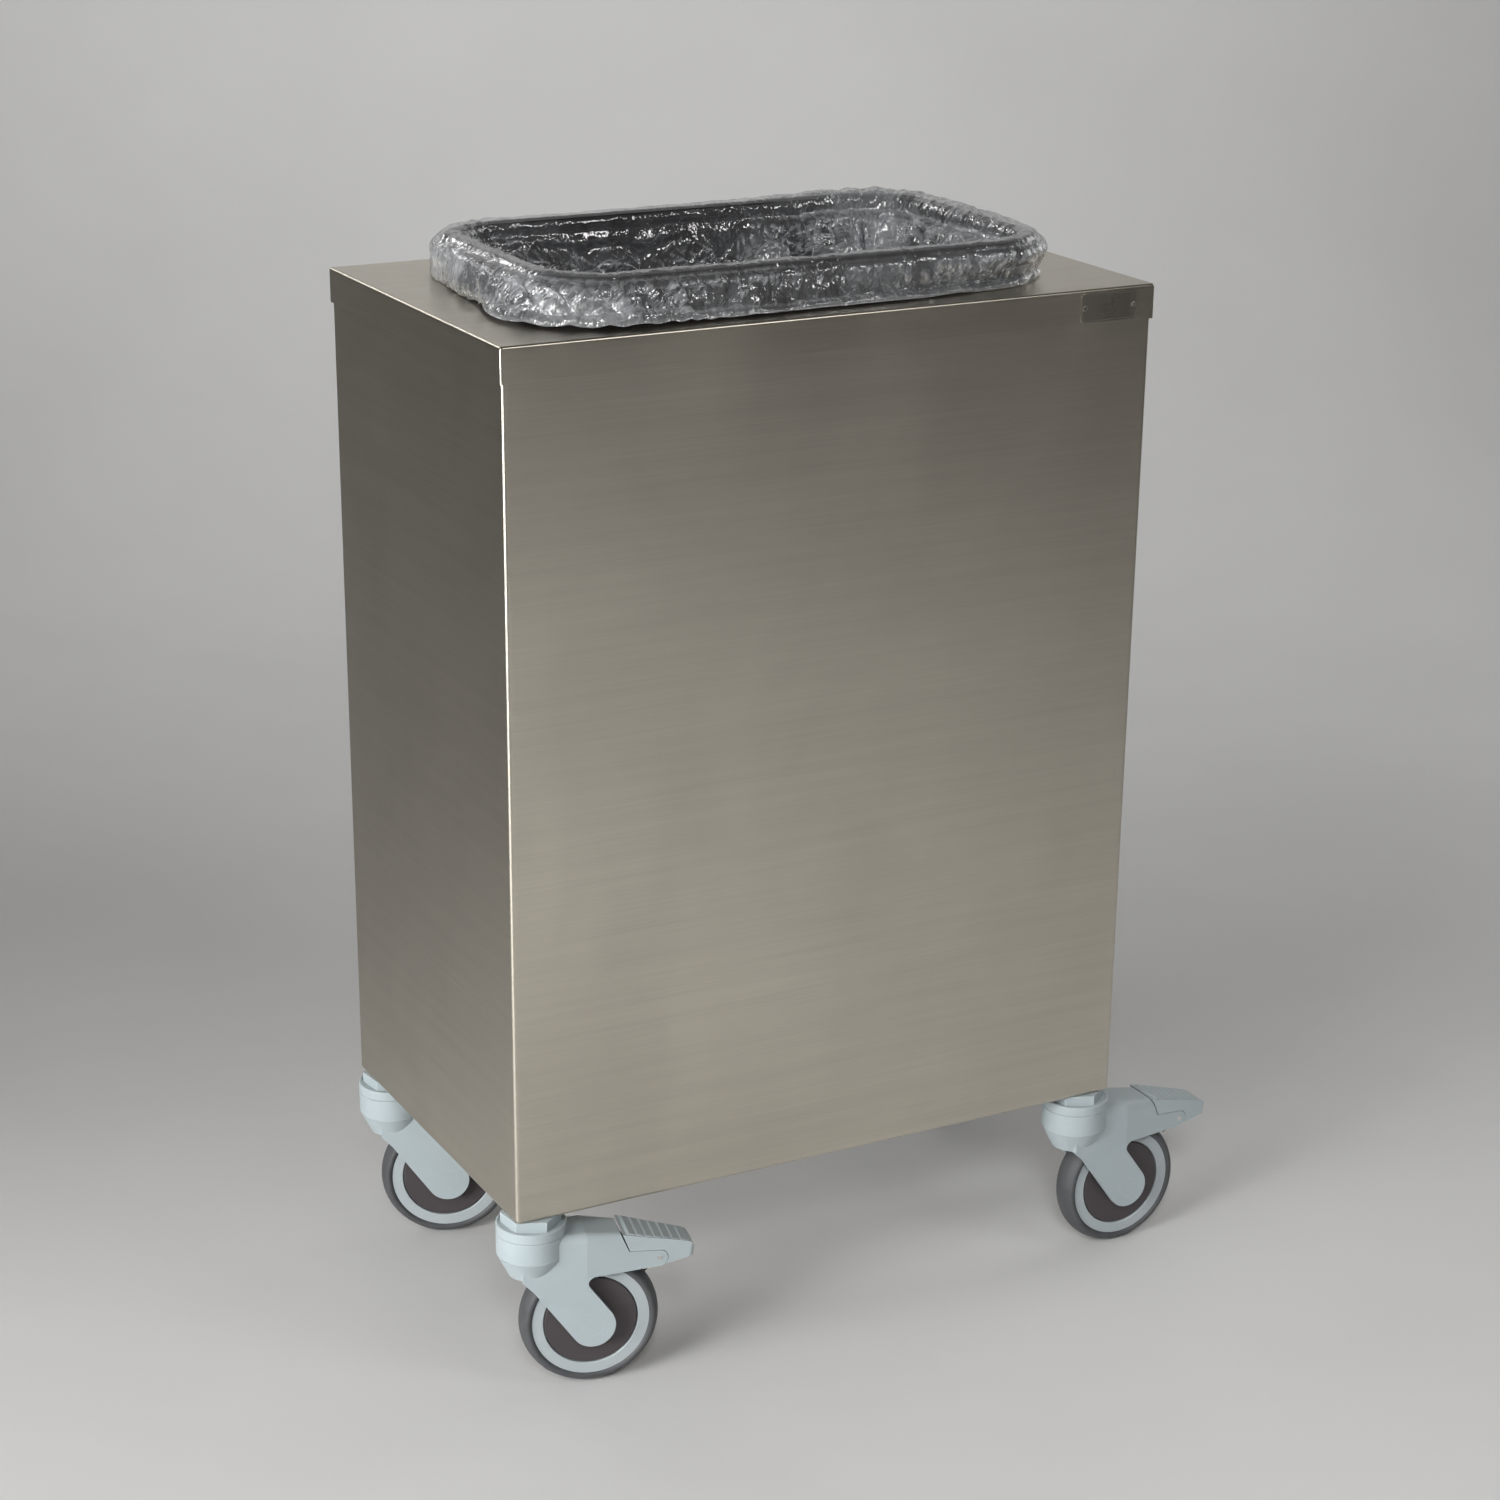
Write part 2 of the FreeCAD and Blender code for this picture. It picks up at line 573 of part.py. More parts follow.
def make_fork(label, spot, braked):
    """Swivelling housing: round head, two legs to the axle and, on a braked caster, the pedal's arm."""
    body = new_body(label)
    sin_leg, cos_leg = "leg_radius * sin( leg_angle )", "leg_radius * cos( leg_angle )"
    climb = f"( knee_z - wheel_radius + {cos_leg} ) / tan( leg_angle )"
    leg_front = [("heel_x", "arm_top"), ("heel_x", "cone_bottom + 2"),
                 (f"trail - {sin_leg} - {climb}", "knee_z"),
                 (f"trail - {sin_leg}", f"wheel_radius - {cos_leg}"),
                 (f"trail + {sin_leg}", f"wheel_radius + {cos_leg}")]
    drop = f"( arm_bottom - wheel_radius - {cos_leg} ) / tan( leg_angle )"
    notch = (f"trail + {sin_leg} - {drop}", "arm_bottom")
    if braked:
        arm = [notch, ("pin_x", "pin_z - ear_radius"), ("pin_x", "pin_z + ear_radius"),
               ("step_end", "pin_z + ear_radius + step_rise"), ("step_start", "pedal_top - pedal_gap"),
               ("taper_start", "arm_top")]
    else:
        arm = [notch, ("nose_low", "arm_bottom"), ("nose_tip", "arm_bottom + nose_lift"),
               ("nose_high", "nose_side"), ("step_start", "nose_top"), ("taper_start", "arm_top")]
    extrude(body, "sides", outline(body, "side_outline", "XZ_Plane", leg_front + arm), "fork_width",
            both_ways=True)
    notch_x = value(notch[0])
    round_edges(body, "notch_round", "notch_round", lambda edge: edge.BoundBox.YLength > 1
                and abs(edge.BoundBox.XMin - notch_x) < 0.01 and abs(edge.BoundBox.XMax - notch_x) < 0.01)
    if braked:
        extrude(body, "ears", circles(body, "ear_outline", "XZ_Plane", PIN, ["ear_radius"]), "fork_width",
                both_ways=True)
    taper_sides(body, "arm_taper")
    shoulder_end = value("pin_z + 2 * ear_radius")
    round_edges(body, "shoulders", "shoulder_round",
                lambda edge: edge.BoundBox.ZMin > shoulder_end and edge.BoundBox.XLength > 5
                and edge.BoundBox.YLength < 10 and edge.BoundBox.XMax < value("pin_x"))
    extrude(body, "leg_ends", circles(body, "leg_end_outline", "XZ_Plane", AXLE, ["leg_radius"]),
            "fork_width", both_ways=True)
    head = [("0", "cone_bottom"), ("cone_radius - 3", "cone_bottom"), ("cone_radius", "cone_bottom + 1.5"),
            ("housing_radius - 0.6", "housing_seam - 1.6"), ("housing_radius", "housing_seam - groove"),
            ("housing_radius - groove", "housing_seam - groove"),
            ("housing_radius - groove", "housing_seam"),
            ("housing_radius", "housing_seam"), ("housing_radius", "housing_top - groove"),
            ("housing_radius - groove", "housing_top"), ("0", "housing_top")]
    revolve(body, "head", outline(body, "head_section", "XZ_Plane", head))
    well = circles(body, "well_outline", "XZ_Plane", AXLE, ["well_radius"])
    extrude(body, "wheel_well", well, "well_width", cut=True, both_ways=True)
    if braked:
        low, high = "arm_bottom - ear_radius", "pin_z + 3 * ear_radius"
        slot = [("slot_start", low), ("slot_end", low), ("slot_end", high), ("slot_start", high)]
        extrude(body, "ear_slot", outline(body, "slot_outline", "XZ_Plane", slot), "ear_slot",
                cut=True, both_ways=True)
        extrude(body, "pin_bore", circles(body, "pin_bore_outline", "XZ_Plane", PIN, ["pin_radius"]),
                "fork_width", cut=True, both_ways=True)
    seat = circles(body, "seat_plan", "XY_Plane", ("0", "0"), ["bearing_radius"], "housing_top + 1")
    extrude(body, "bearing_seat", seat, "housing_top - stem_bottom + 0.5", cut=True)
    throat = circles(body, "throat_plan", "XY_Plane", ("0", "0"), ["stem_flange + 1"], "stem_bottom + 5")
    extrude(body, "stem_throat", throat, "fork_width", cut=True)
    extrude(body, "axle_bore", circles(body, "axle_bore_outline", "XZ_Plane", AXLE, ["axle_radius"]),
            "axle_length", cut=True, both_ways=True)
    for side, offset, flip in (("front", "fork_width / 2 - groove / 2", True),
                               ("rear", "groove / 2 - fork_width / 2", False)):
        ring = circles(body, f"boss_ring_{side}", "XZ_Plane", AXLE, ["boss_ring", "boss_ring - boss_line"],
                       offset)
        extrude(body, f"boss_line_{side}", ring, "groove", cut=True, reverse=flip)
    finish(body, **spot)


def make_axle(label, spot):
    """Axle between the legs, with a collar at each side that keeps the wheel centred."""
    body = new_body(label)
    collar = "hub_width / 2 + 0.3"
    half = [("0", "-1 * axle_length / 2"), ("axle_radius", "-1 * axle_length / 2"),
            ("axle_radius", "-1 * well_width / 2"), ("spacer_radius", "-1 * well_width / 2"),
            ("spacer_radius", f"-1 * ( {collar} )"), ("axle_radius", f"-1 * ( {collar} )"),
            ("axle_radius", collar), ("spacer_radius", collar), ("spacer_radius", "well_width / 2"),
            ("axle_radius", "well_width / 2"), ("axle_radius", "axle_length / 2"), ("0", "axle_length / 2")]
    revolve(body, "shaft", outline(body, "shaft_section", "XY_Plane", half))
    finish(body, **spot)


def make_wheel_centre(label, spot):
    body = new_body(label)
    half = [("wheel_bearing - 2", "hub_width / 2 - bearing_width"),
            ("wheel_bearing", "hub_width / 2 - bearing_width"), ("wheel_bearing", "hub_width / 2"),
            ("hub_radius", "hub_width / 2"), ("hub_radius", "web_width / 2"),
            ("ring_inner", "web_width / 2"), ("ring_inner", "ring_width / 2 - 0.6"),
            ("ring_inner + 0.6", "ring_width / 2"), ("ring_outer", "ring_width / 2")]
    mirrored = [(radius, f"-1 * ( {side} )") for radius, side in reversed(half)]
    revolve(body, "wheel", outline(body, "wheel_section", "XY_Plane", half + mirrored))
    finish(body, **spot)


def make_wheel_bearings(label, spot):
    body = new_body(label)
    inner, outer = "axle_radius + running_gap", "wheel_bearing"
    low, high = "hub_width / 2 - bearing_width", "hub_width / 2"
    for name, sign in (("front", "-1 * "), ("rear", "")):
        corners = [(inner, f"{sign}( {low} )"), (outer, f"{sign}( {low} )"), (outer, f"{sign}( {high} )"),
                   (inner, f"{sign}( {high} )")]
        revolve(body, name + "_bearing", outline(body, name + "_section", "XY_Plane", corners))
    finish(body, **spot)


def make_wheel_covers(label, spot):
    """Dark discs, clipped on both sides of the wheel centre."""
    body = new_body(label)
    face, back = "cover_width / 2", "cover_width / 2 - cover_gauge"
    for name, sign in (("front", "-1 * "), ("rear", "")):
        section = [("hub_radius + 0.4", back), ("cover_outer - 3.6", back),
                   ("cover_outer - 3.6", "web_width / 2"), ("cover_outer - 2.2", "web_width / 2"),
                   ("cover_outer - 2.2", back), ("cover_outer", back),
                   ("cover_outer", f"{face} - 0.6"), ("cover_outer - 0.8", face), ("hub_radius + 0.4", face)]
        corners = [(radius, f"{sign}( {side} )") for radius, side in section]
        revolve(body, name + "_disc", outline(body, name + "_section", "XY_Plane", corners))
    finish(body, **spot)


def make_tyre(label, spot):
    """Ring with a round crown; its sides flare out from the wheel centre's ring."""
    body = new_body(label)
    sketch = new_sketch(body, "tread_section", "XY_Plane")
    half = value("tread_width / 2")
    reach = "sqrt( tread_crown ^ 2 - ( tread_width / 2 ) ^ 2 )"
    shoulder = f"wheel_radius - tread_crown + {reach}"
    corners = [(shoulder, "tread_width / 2"), ("ring_outer", "ring_width / 2"),
               ("ring_outer", "-1 * ring_width / 2"), (shoulder, "-1 * tread_width / 2")]
    points = [Vector(value(across), value(side), 0) for across, side in corners]
    for start, stop in zip(points, points[1:]):
        sketch.addGeometry(Part.LineSegment(start, stop), False)
    top = Vector(value("wheel_radius"), 0, 0)
    arc = sketch.addGeometry(Part.Arc(points[3], top, points[0]), False)
    for line in range(2):
        sketch.addConstraint(Sketcher.Constraint("Coincident", line, 2, line + 1, 1))
    low_end = 1 if sketch.getPoint(arc, 1).distanceToPoint(points[3]) < 0.01 else 2
    sketch.addConstraint(Sketcher.Constraint("Coincident", 2, 2, arc, low_end))
    sketch.addConstraint(Sketcher.Constraint("Coincident", 0, 1, arc, 3 - low_end))
    for line in range(3):
        hold_point(sketch, line, 1, corners[line])
    hold_point(sketch, arc, 3, ("wheel_radius - tread_crown", "0"))
    revolve(body, "tread", sketch)
    edge_radius = value(shoulder)
    round_edges(body, "tread_edges", "tread_round",
                lambda edge: abs(abs(edge.BoundBox.YMax) - half) < 0.01 and edge.BoundBox.YLength < 0.01
                and abs(edge.BoundBox.ZMax - edge_radius) < 0.01)
    finish(body, **spot)


# ---------------------------------------------------------------- brake

def make_pedal(label, spot):
    """Rocker pedal: ribbed tread over the arm, with a core between the arm's ears."""
    body = new_body(label)
    start, stop = ("pedal_start", "pedal_top - 0.3"), ("pedal_stop", "pedal_end")
    ribs, run, rise = 7, "( pedal_stop - rib_start )", "( pedal_end - pedal_top + 0.3 )"
    teeth = [("rib_start", "pedal_top - ear_radius")]
    for rib in range(ribs):
        for share, height in ((0.0, "0"), (0.3, "rib_height"), (0.92, "rib_height * 0.6")):
            along = (rib + share) / ribs
            teeth.append((f"rib_start + {along:.4f} * {run}",
                          f"pedal_top - 0.9 + {along:.4f} * {rise} + {height}"))
    teeth += [("pedal_stop", "pedal_end + 0.1"), ("pedal_stop", "pedal_end - ear_radius")]
    extrude(body, "ribs", outline(body, "rib_outline", "XZ_Plane", teeth), "fork_width", both_ways=True)
    taper_sides(body, "rib_taper", "rib_inset")
    shelf = "pin_z + ear_radius + pedal_gap"
    corners = [start, ("ramp_foot", f"{shelf} + ramp_rise"), ("pin_x", shelf),
               ("pin_x + 1", "pin_z - ear_radius + pedal_gap"), ("pedal_tip - 1", "pin_z - 2"),
               ("pedal_tip", "pin_z + 5.5"), ("pedal_chin", "pedal_end - 2"), stop]
    extrude(body, "tread", outline(body, "tread_outline", "XZ_Plane", corners), "fork_width", both_ways=True)
    taper_sides(body, "tread_taper")
    round_edges(body, "tip_edges", "tip_round", lambda edge: edge.BoundBox.XMin > value("pedal_tip") - 1.2
                and edge.BoundBox.YLength < 2 and edge.BoundBox.ZLength > 5)
    clearance = circles(body, "ear_clearance_outline", "XZ_Plane", PIN, ["ear_radius + pedal_gap"])
    extrude(body, "ear_clearance", clearance, "2 * fork_width", cut=True, both_ways=True)
    core = [("core_start", f"{shelf} + 3"), ("core_start", "pin_z + 2"),
            ("pin_x - 4", "pin_z - ear_radius + 1"), ("pin_x + core_reach / 2", "pin_z - ear_radius + 1.6"),
            ("pin_x + core_reach", "pin_z"), ("pin_x + core_reach", f"{shelf} + 2")]
    extrude(body, "core", outline(body, "core_outline", "XZ_Plane", core), "core_width", both_ways=True)
    bore = circles(body, "pivot_outline", "XZ_Plane", PIN, ["pin_radius + running_gap"])
    extrude(body, "pivot", bore, "2 * fork_width", cut=True, both_ways=True)
    finish(body, **spot)


def make_pedal_pin(label, spot):
    body = new_body(label)
    extrude(body, "pin", circles(body, "pin_outline", "XZ_Plane", PIN, ["pin_radius"]), "pin_length",
            both_ways=True)
    finish(body, **spot)


def make_brake_shoe(label, spot):
    """Block under the pedal's core that swings against the tread when the pedal's tip goes down."""
    body = new_body(label)
    near, far = "wheel_radius + shoe_gap", "wheel_radius + shoe_gap + shoe_depth"
    corners = [(f"trail + ( {reach} ) * cos( {turn} )", f"wheel_radius + ( {reach} ) * sin( {turn} )")
               for reach, turn in ((near, 40), (near, 45), (near, 50), (far, 46), (far, 40))]
    extrude(body, "shoe", outline(body, "shoe_outline", "XZ_Plane", corners), "shoe_width", both_ways=True)
    finish(body, **spot)


# ---------------------------------------------------------------- assembly

def make_caster(corner, side, end, braked):
    """All the pieces of one caster; side and end are the signs of its corner."""
    yaw = f"yaw_{corner}"
    across, back = f"{side} * swivel_x", f"{end} * swivel_y"
    swivel = {"across": across, "back": back, "yaw": yaw}
    wheel = {"across": f"{across} + trail * cos( {yaw} )", "back": f"{back} + trail * sin( {yaw} )",
             "up": "wheel_radius", "yaw": yaw}
    make_head_cap(f"head_cap_{corner}", {"across": across, "back": back})
    make_swivel_bearing(f"swivel_bearing_{corner}", swivel)
    make_fork(f"fork_{corner}", swivel, braked)
    make_axle(f"axle_{corner}", wheel)
    make_wheel_centre(f"wheel_centre_{corner}", wheel)
    make_wheel_bearings(f"wheel_bearings_{corner}", wheel)
    make_wheel_covers(f"wheel_covers_{corner}", wheel)
    make_tyre(f"tyre_{corner}", wheel)
    if braked:
        make_pedal(f"pedal_{corner}", swivel)
        make_pedal_pin(f"pedal_pin_{corner}", swivel)
        make_brake_shoe(f"brake_shoe_{corner}", swivel)


make_cabinet_wrap()
make_back_panel()
make_base_pan()
make_bolster("bolster_left", -1)
make_bolster("bolster_right", 1)
make_lid()
make_nameplate()
make_plate_rivets()
make_container()
make_bag_liner()
make_stems()
make_stem_nuts()
make_stem_washers()
make_caster("front_left", -1, -1, braked=True)
make_caster("front_right", 1, -1, braked=True)
make_caster("rear_left", -1, 1, braked=False)
make_caster("rear_right", 1, 1, braked=False)

doc.recompute()

# ---------------------------------------------------------------- checks and files

for item in doc.Objects:
    if "Invalid" in item.State or "Error" in item.State:
        raise RuntimeError(f"{item.Label} failed to recompute: {item.State}")

os.makedirs("parts", exist_ok=True)
for item in sub_parts:
    if item.Shape.isNull() or not item.Shape.isValid():
        raise RuntimeError(f"{item.Label} has no valid shape")
    box = item.Shape.BoundBox
    print(f"{item.Label:28s} solids {len(item.Shape.Solids)}  volume {item.Shape.Volume / 1000:9.2f} cm3"
          f"  z {box.ZMin:7.1f} to {box.ZMax:7.1f}")
    item.Shape.exportStep(f"parts/{item.Label}.step")
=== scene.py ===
import json
import math
from types import SimpleNamespace

import bpy
import numpy as np
from mathutils import Matrix, Vector


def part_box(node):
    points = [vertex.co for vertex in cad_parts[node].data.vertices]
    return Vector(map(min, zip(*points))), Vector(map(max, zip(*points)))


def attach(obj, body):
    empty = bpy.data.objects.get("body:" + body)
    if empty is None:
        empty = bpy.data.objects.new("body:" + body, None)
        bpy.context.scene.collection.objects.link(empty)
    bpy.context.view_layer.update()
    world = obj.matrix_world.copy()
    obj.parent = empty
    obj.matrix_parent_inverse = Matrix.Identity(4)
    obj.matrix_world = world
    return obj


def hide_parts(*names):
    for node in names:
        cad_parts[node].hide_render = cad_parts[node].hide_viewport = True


# Looks of the mobile waste bin: brushed stainless cabinet and lid, grey plastic casters, a dark
# container and a clear wrinkled film bag turned over its rim. Metres, +Z up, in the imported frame.

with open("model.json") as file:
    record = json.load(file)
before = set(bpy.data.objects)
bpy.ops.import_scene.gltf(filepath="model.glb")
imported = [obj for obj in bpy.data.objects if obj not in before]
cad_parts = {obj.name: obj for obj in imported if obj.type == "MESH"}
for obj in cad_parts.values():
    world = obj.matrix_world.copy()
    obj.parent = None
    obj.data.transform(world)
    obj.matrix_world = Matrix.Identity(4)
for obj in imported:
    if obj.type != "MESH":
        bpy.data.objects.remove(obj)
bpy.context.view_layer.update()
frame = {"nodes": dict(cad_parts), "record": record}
MM = 0.001
RIM_LOW, RIM_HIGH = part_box("container")
LID_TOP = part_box("lid")[1].z
RIM_TOP = RIM_HIGH.z
RIM_HALF = (RIM_HIGH.x, RIM_HIGH.y)
RIM_CORNER = 68 * MM
RIM_DROP = 18.8 * MM                # from the rim's outer edge to the inside of the neck
WALL = 2.8 * MM
NECK_HALF = (RIM_HIGH.x - RIM_DROP, RIM_HIGH.y - RIM_DROP)
NECK_CORNER = 0.052 - WALL
FOOT_SIZE = (0.418 / 2 - WALL, 0.226 / 2 - WALL, 0.038 - WALL)     # half sizes and corner
CONTAINER_FLOOR = RIM_LOW.z + WALL
LOOP_LENGTH = 4 * (RIM_HALF[0] + RIM_HALF[1] - 2 * RIM_CORNER) + 2 * math.pi * RIM_CORNER


# ---------------------------------------------------------------- camera

CAMERA_PLACE = (-1.2865, -2.4345, 1.4534)
CAMERA_TURN = -28.15
CAMERA_TILT = 20.89
CAMERA_ROLL = 0.6
CAMERA_SENSOR = 36
CAMERA_LENS = 76.61
CAMERA_RISE = 100 / 1500


def make_camera():
    """The photograph's camera, turned, tilted and rolled in that order."""
    data = bpy.data.cameras.new("camera")
    data.sensor_width = CAMERA_SENSOR
    data.lens = CAMERA_LENS
    data.shift_y = CAMERA_RISE
    data.clip_end = 60
    camera = bpy.data.objects.new("camera", data)
    turn = Matrix.Rotation(math.radians(CAMERA_TURN), 4, "Z")
    tilt = Matrix.Rotation(math.radians(90 - CAMERA_TILT), 4, "X")
    roll = Matrix.Rotation(math.radians(CAMERA_ROLL), 4, "Z")
    camera.matrix_world = Matrix.Translation(CAMERA_PLACE) @ turn @ tilt @ roll
    bpy.context.scene.collection.objects.link(camera)
    bpy.context.scene.camera = camera


# ---------------------------------------------------------------- material helpers

class Nodes:
    """A material's node tree, built one node at a time."""

    def __init__(self, name):
        self.material = bpy.data.materials.new(name)
        self.material.use_nodes = True
        self.tree = self.material.node_tree
        self.tree.nodes.clear()
        self.place = self.add("ShaderNodeTexCoord").outputs

    def add(self, kind, inputs=None, **settings):
        node = self.tree.nodes.new(kind)
        for field, setting in settings.items():
            setattr(node, field, setting)
        for name, source in (inputs or {}).items():
            self.feed(node.inputs[name], source)
        return node

    def feed(self, socket, source):
        """Link source to the socket, or set it there if it's a plain value."""
        if isinstance(source, bpy.types.NodeSocket):
            self.tree.links.new(source, socket)
        else:
            socket.default_value = source

    def math(self, operation, first, second=0.0, third=0.0):
        node = self.add("ShaderNodeMath", {0: first, 1: second, 2: third}, operation=operation)
        return node.outputs[0]

    def span(self, source, low, high, to_low=0.0, to_high=1.0):
        """source between low and high, as a number between to_low and to_high."""
        sizes = {"From Min": low, "From Max": high, "To Min": to_low, "To Max": to_high}
        return self.add("ShaderNodeMapRange", {"Value": source, **sizes}).outputs[0]

    def scaled(self, vector, scale):
        node = self.add("ShaderNodeMapping", {"Vector": vector, "Scale": scale})
        return node.outputs[0]

    def noise(self, vector, scale, detail=3.0, roughness=0.5, distortion=0.0):
        sizes = {"Scale": scale, "Detail": detail, "Roughness": roughness, "Distortion": distortion}
        return self.add("ShaderNodeTexNoise", {"Vector": vector, **sizes}).outputs[0]

    def mix(self, share, first, second):
        node = self.add("ShaderNodeMix", data_type="RGBA")
        for index, source in ((0, share), (6, first), (7, second)):
            self.feed(node.inputs[index], source)
        return node.outputs[2]

    def creases(self, rotation, stretch, scale):
        """Height of flat facets that meet in straight creases."""
        turn = {"Vector": self.place["Object"], "Rotation": rotation, "Scale": stretch}
        cells = {"Vector": self.add("ShaderNodeMapping", turn).outputs[0], "Scale": scale}
        return self.add("ShaderNodeTexVoronoi", cells, feature="DISTANCE_TO_EDGE").outputs[0]

    def bump(self, height, distance, strength=1.0):
        inputs = {"Height": height, "Distance": distance, "Strength": strength}
        return self.add("ShaderNodeBump", inputs).outputs[0]

    def edges(self, radius):
        """1 along sharp edges, 0 on flat faces."""
        soft = self.add("ShaderNodeBevel", {"Radius": radius}, samples=4).outputs[0]
        true = self.add("ShaderNodeNewGeometry").outputs["True Normal"]
        dot = self.add("ShaderNodeVectorMath", {0: soft, 1: true}, operation="DOT_PRODUCT")
        return self.span(dot.outputs["Value"], 0.995, 0.9)

    def finish(self, shader):
        """Send the shader to the output and give back the material."""
        self.add("ShaderNodeOutputMaterial", {"Surface": shader})
        return self.material

    def principled(self, **inputs):
        named = {field.replace("_", " "): source for field, source in inputs.items()}
        return self.add("ShaderNodeBsdfPrincipled", named).outputs[0]


# ---------------------------------------------------------------- brushed stainless steel

# how much brighter the steel's colour is made along its edges, a painted highlight, and how much
# rougher it is there
EDGE_HIGHLIGHT_AND_ROUGHNESS = 0.12
GRAIN_IN_GLOSS = 0.015


def brushed_steel(name, tint, roughness, level_run, shift=0.0):
    """Sheet brushed along the width on its top and round its upright faces; shift moves the grain."""
    nodes = Nodes(name)
    offset = {0: nodes.place["Object"], 1: (shift, shift, shift)}
    moved = nodes.add("ShaderNodeVectorMath", offset).outputs[0]
    spot = nodes.add("ShaderNodeSeparateXYZ", {0: moved}).outputs
    facing = nodes.add("ShaderNodeSeparateXYZ", {0: nodes.place["Normal"]}).outputs
    flat = nodes.math("GREATER_THAN", nodes.math("ABSOLUTE", facing[2]), 0.7)
    upright = nodes.math("SUBTRACT", 1.0, flat)
    rows = nodes.math("MULTIPLY", spot[2], upright)
    across = nodes.math("ADD", rows, nodes.math("MULTIPLY", spot[1], flat))
    along = nodes.math("ADD", spot[0], nodes.math("MULTIPLY", spot[1], upright))
    side = nodes.math("MULTIPLY", facing[0], 3.0)
    run = nodes.add("ShaderNodeCombineXYZ", {0: along, 1: across, 2: side}).outputs[0]
    grain = nodes.noise(nodes.scaled(run, (7, 620, 1)), 1.0, 3.0, 0.6)
    streak = nodes.noise(nodes.scaled(run, (2.2, 90, 1)), 1.0, 4.0, 0.55)
    cloud = nodes.noise(nodes.place["Object"], 5.5, 4.0, 0.55, 0.6)
    smear = nodes.noise(nodes.scaled(nodes.place["Object"], (9, 9, 2.5)), 1.0, 5.0, 0.6, 1.2)
    painted_highlight_edges = nodes.edges(1.2 * MM)
    level = nodes.math("MULTIPLY_ADD", grain, 0.5 * level_run, 0.92 - 0.25 * level_run)
    level = nodes.math("MULTIPLY", level, nodes.span(streak, 0.3, 0.7, 0.97, 1.03))
    level = nodes.math("MULTIPLY", level, nodes.span(cloud, 0.3, 0.7, 0.95, 1.04))
    # painted highlight: the colour is made brighter along the sheet's edges
    level = nodes.math("MULTIPLY_ADD", painted_highlight_edges, EDGE_HIGHLIGHT_AND_ROUGHNESS, level)
    tinted = nodes.add("ShaderNodeVectorMath", {0: tint, "Scale": level}, operation="SCALE")
    rough = nodes.math("MULTIPLY_ADD", nodes.math("SUBTRACT", grain, 0.5), GRAIN_IN_GLOSS, roughness)
    rough = nodes.math("ADD", rough, nodes.span(smear, 0.35, 0.75, -0.02, 0.04))
    # the edges are also made rougher
    rough = nodes.math("MULTIPLY_ADD", painted_highlight_edges, EDGE_HIGHLIGHT_AND_ROUGHNESS, rough)
    tangent = nodes.add("ShaderNodeCombineXYZ", {1: flat, 2: upright}).outputs[0]
    shader = nodes.principled(
        Base_Color=tinted.outputs[0], Metallic=1.0, Roughness=rough, Anisotropic=0.55, Tangent=tangent,
        Normal=nodes.bump(cloud, 0.5 * MM, 0.25),
    )
    return nodes.finish(shader)


# ---------------------------------------------------------------- plated fittings

def plated_steel(name):
    """Zinc-plated steel with dull patches and a painted highlight that makes its edges bright."""
    nodes = Nodes(name)
    patch = nodes.noise(nodes.place["Object"], 60, 4.0)
    scuff = nodes.noise(nodes.place["Object"], 900, 2.0)
    painted_highlight_edges = nodes.edges(0.6 * MM)
    colour = nodes.mix(nodes.span(patch, 0.3, 0.7), (0.62, 0.61, 0.58, 1), (0.74, 0.74, 0.73, 1))
    # painted highlight: paler colour along the edges
    colour = nodes.mix(painted_highlight_edges, colour, (0.85, 0.85, 0.84, 1))
    shader = nodes.principled(
        Base_Color=colour, Metallic=1.0, Roughness=nodes.span(patch, 0.3, 0.7, 0.2, 0.34),
        Normal=nodes.bump(scuff, 0.02 * MM, 0.4),
    )
    return nodes.finish(shader)


# ---------------------------------------------------------------- plastics and rubber

DUST_COLOUR = (0.55, 0.54, 0.52, 1)
# paler colour of a painted highlight along the tyre's edges
RUBBER_EDGE_HIGHLIGHT = (0.16, 0.16, 0.16, 1)
TYRE_DARK = (0.062, 0.065, 0.07, 1)
TYRE_PALE = (0.088, 0.09, 0.094, 1)


def moulded_plastic(name, colour, edge_highlight_colour, roughness, grain_scale, grain_depth, dust=0.0):
    """Moulded plastic with a fine spark grain, faint flow marks and a painted highlight that makes its
    edges paler.
    """
    nodes = Nodes(name)
    grain = nodes.noise(nodes.place["Object"], grain_scale, 2.0, 0.6)
    flow = nodes.noise(nodes.scaled(nodes.place["Object"], (14, 14, 30)), 1.0, 4.0, 0.55, 0.8)
    painted_highlight_edges = nodes.edges(0.9 * MM)
    base = nodes.mix(nodes.span(flow, 0.3, 0.7), (*[c * 0.94 for c in colour], 1), (*colour, 1))
    # painted highlight: paler colour along the edges
    base = nodes.mix(nodes.math("MULTIPLY", painted_highlight_edges, 0.5), base, (*edge_highlight_colour, 1))
    if dust:
        facing = nodes.add("ShaderNodeSeparateXYZ", {0: nodes.place["Normal"]}).outputs[2]
        settled = nodes.math("MULTIPLY", nodes.span(facing, 0.1, 1.0, 0.0, dust), flow)
        base = nodes.mix(settled, base, DUST_COLOUR)
    rough = nodes.math("MULTIPLY_ADD", nodes.math("SUBTRACT", flow, 0.5), 0.14, roughness)
    shader = nodes.principled(
        Base_Color=base, Roughness=rough, IOR=1.49,
        Normal=nodes.bump(grain, grain_depth, 0.55),
    )
    return nodes.finish(shader)


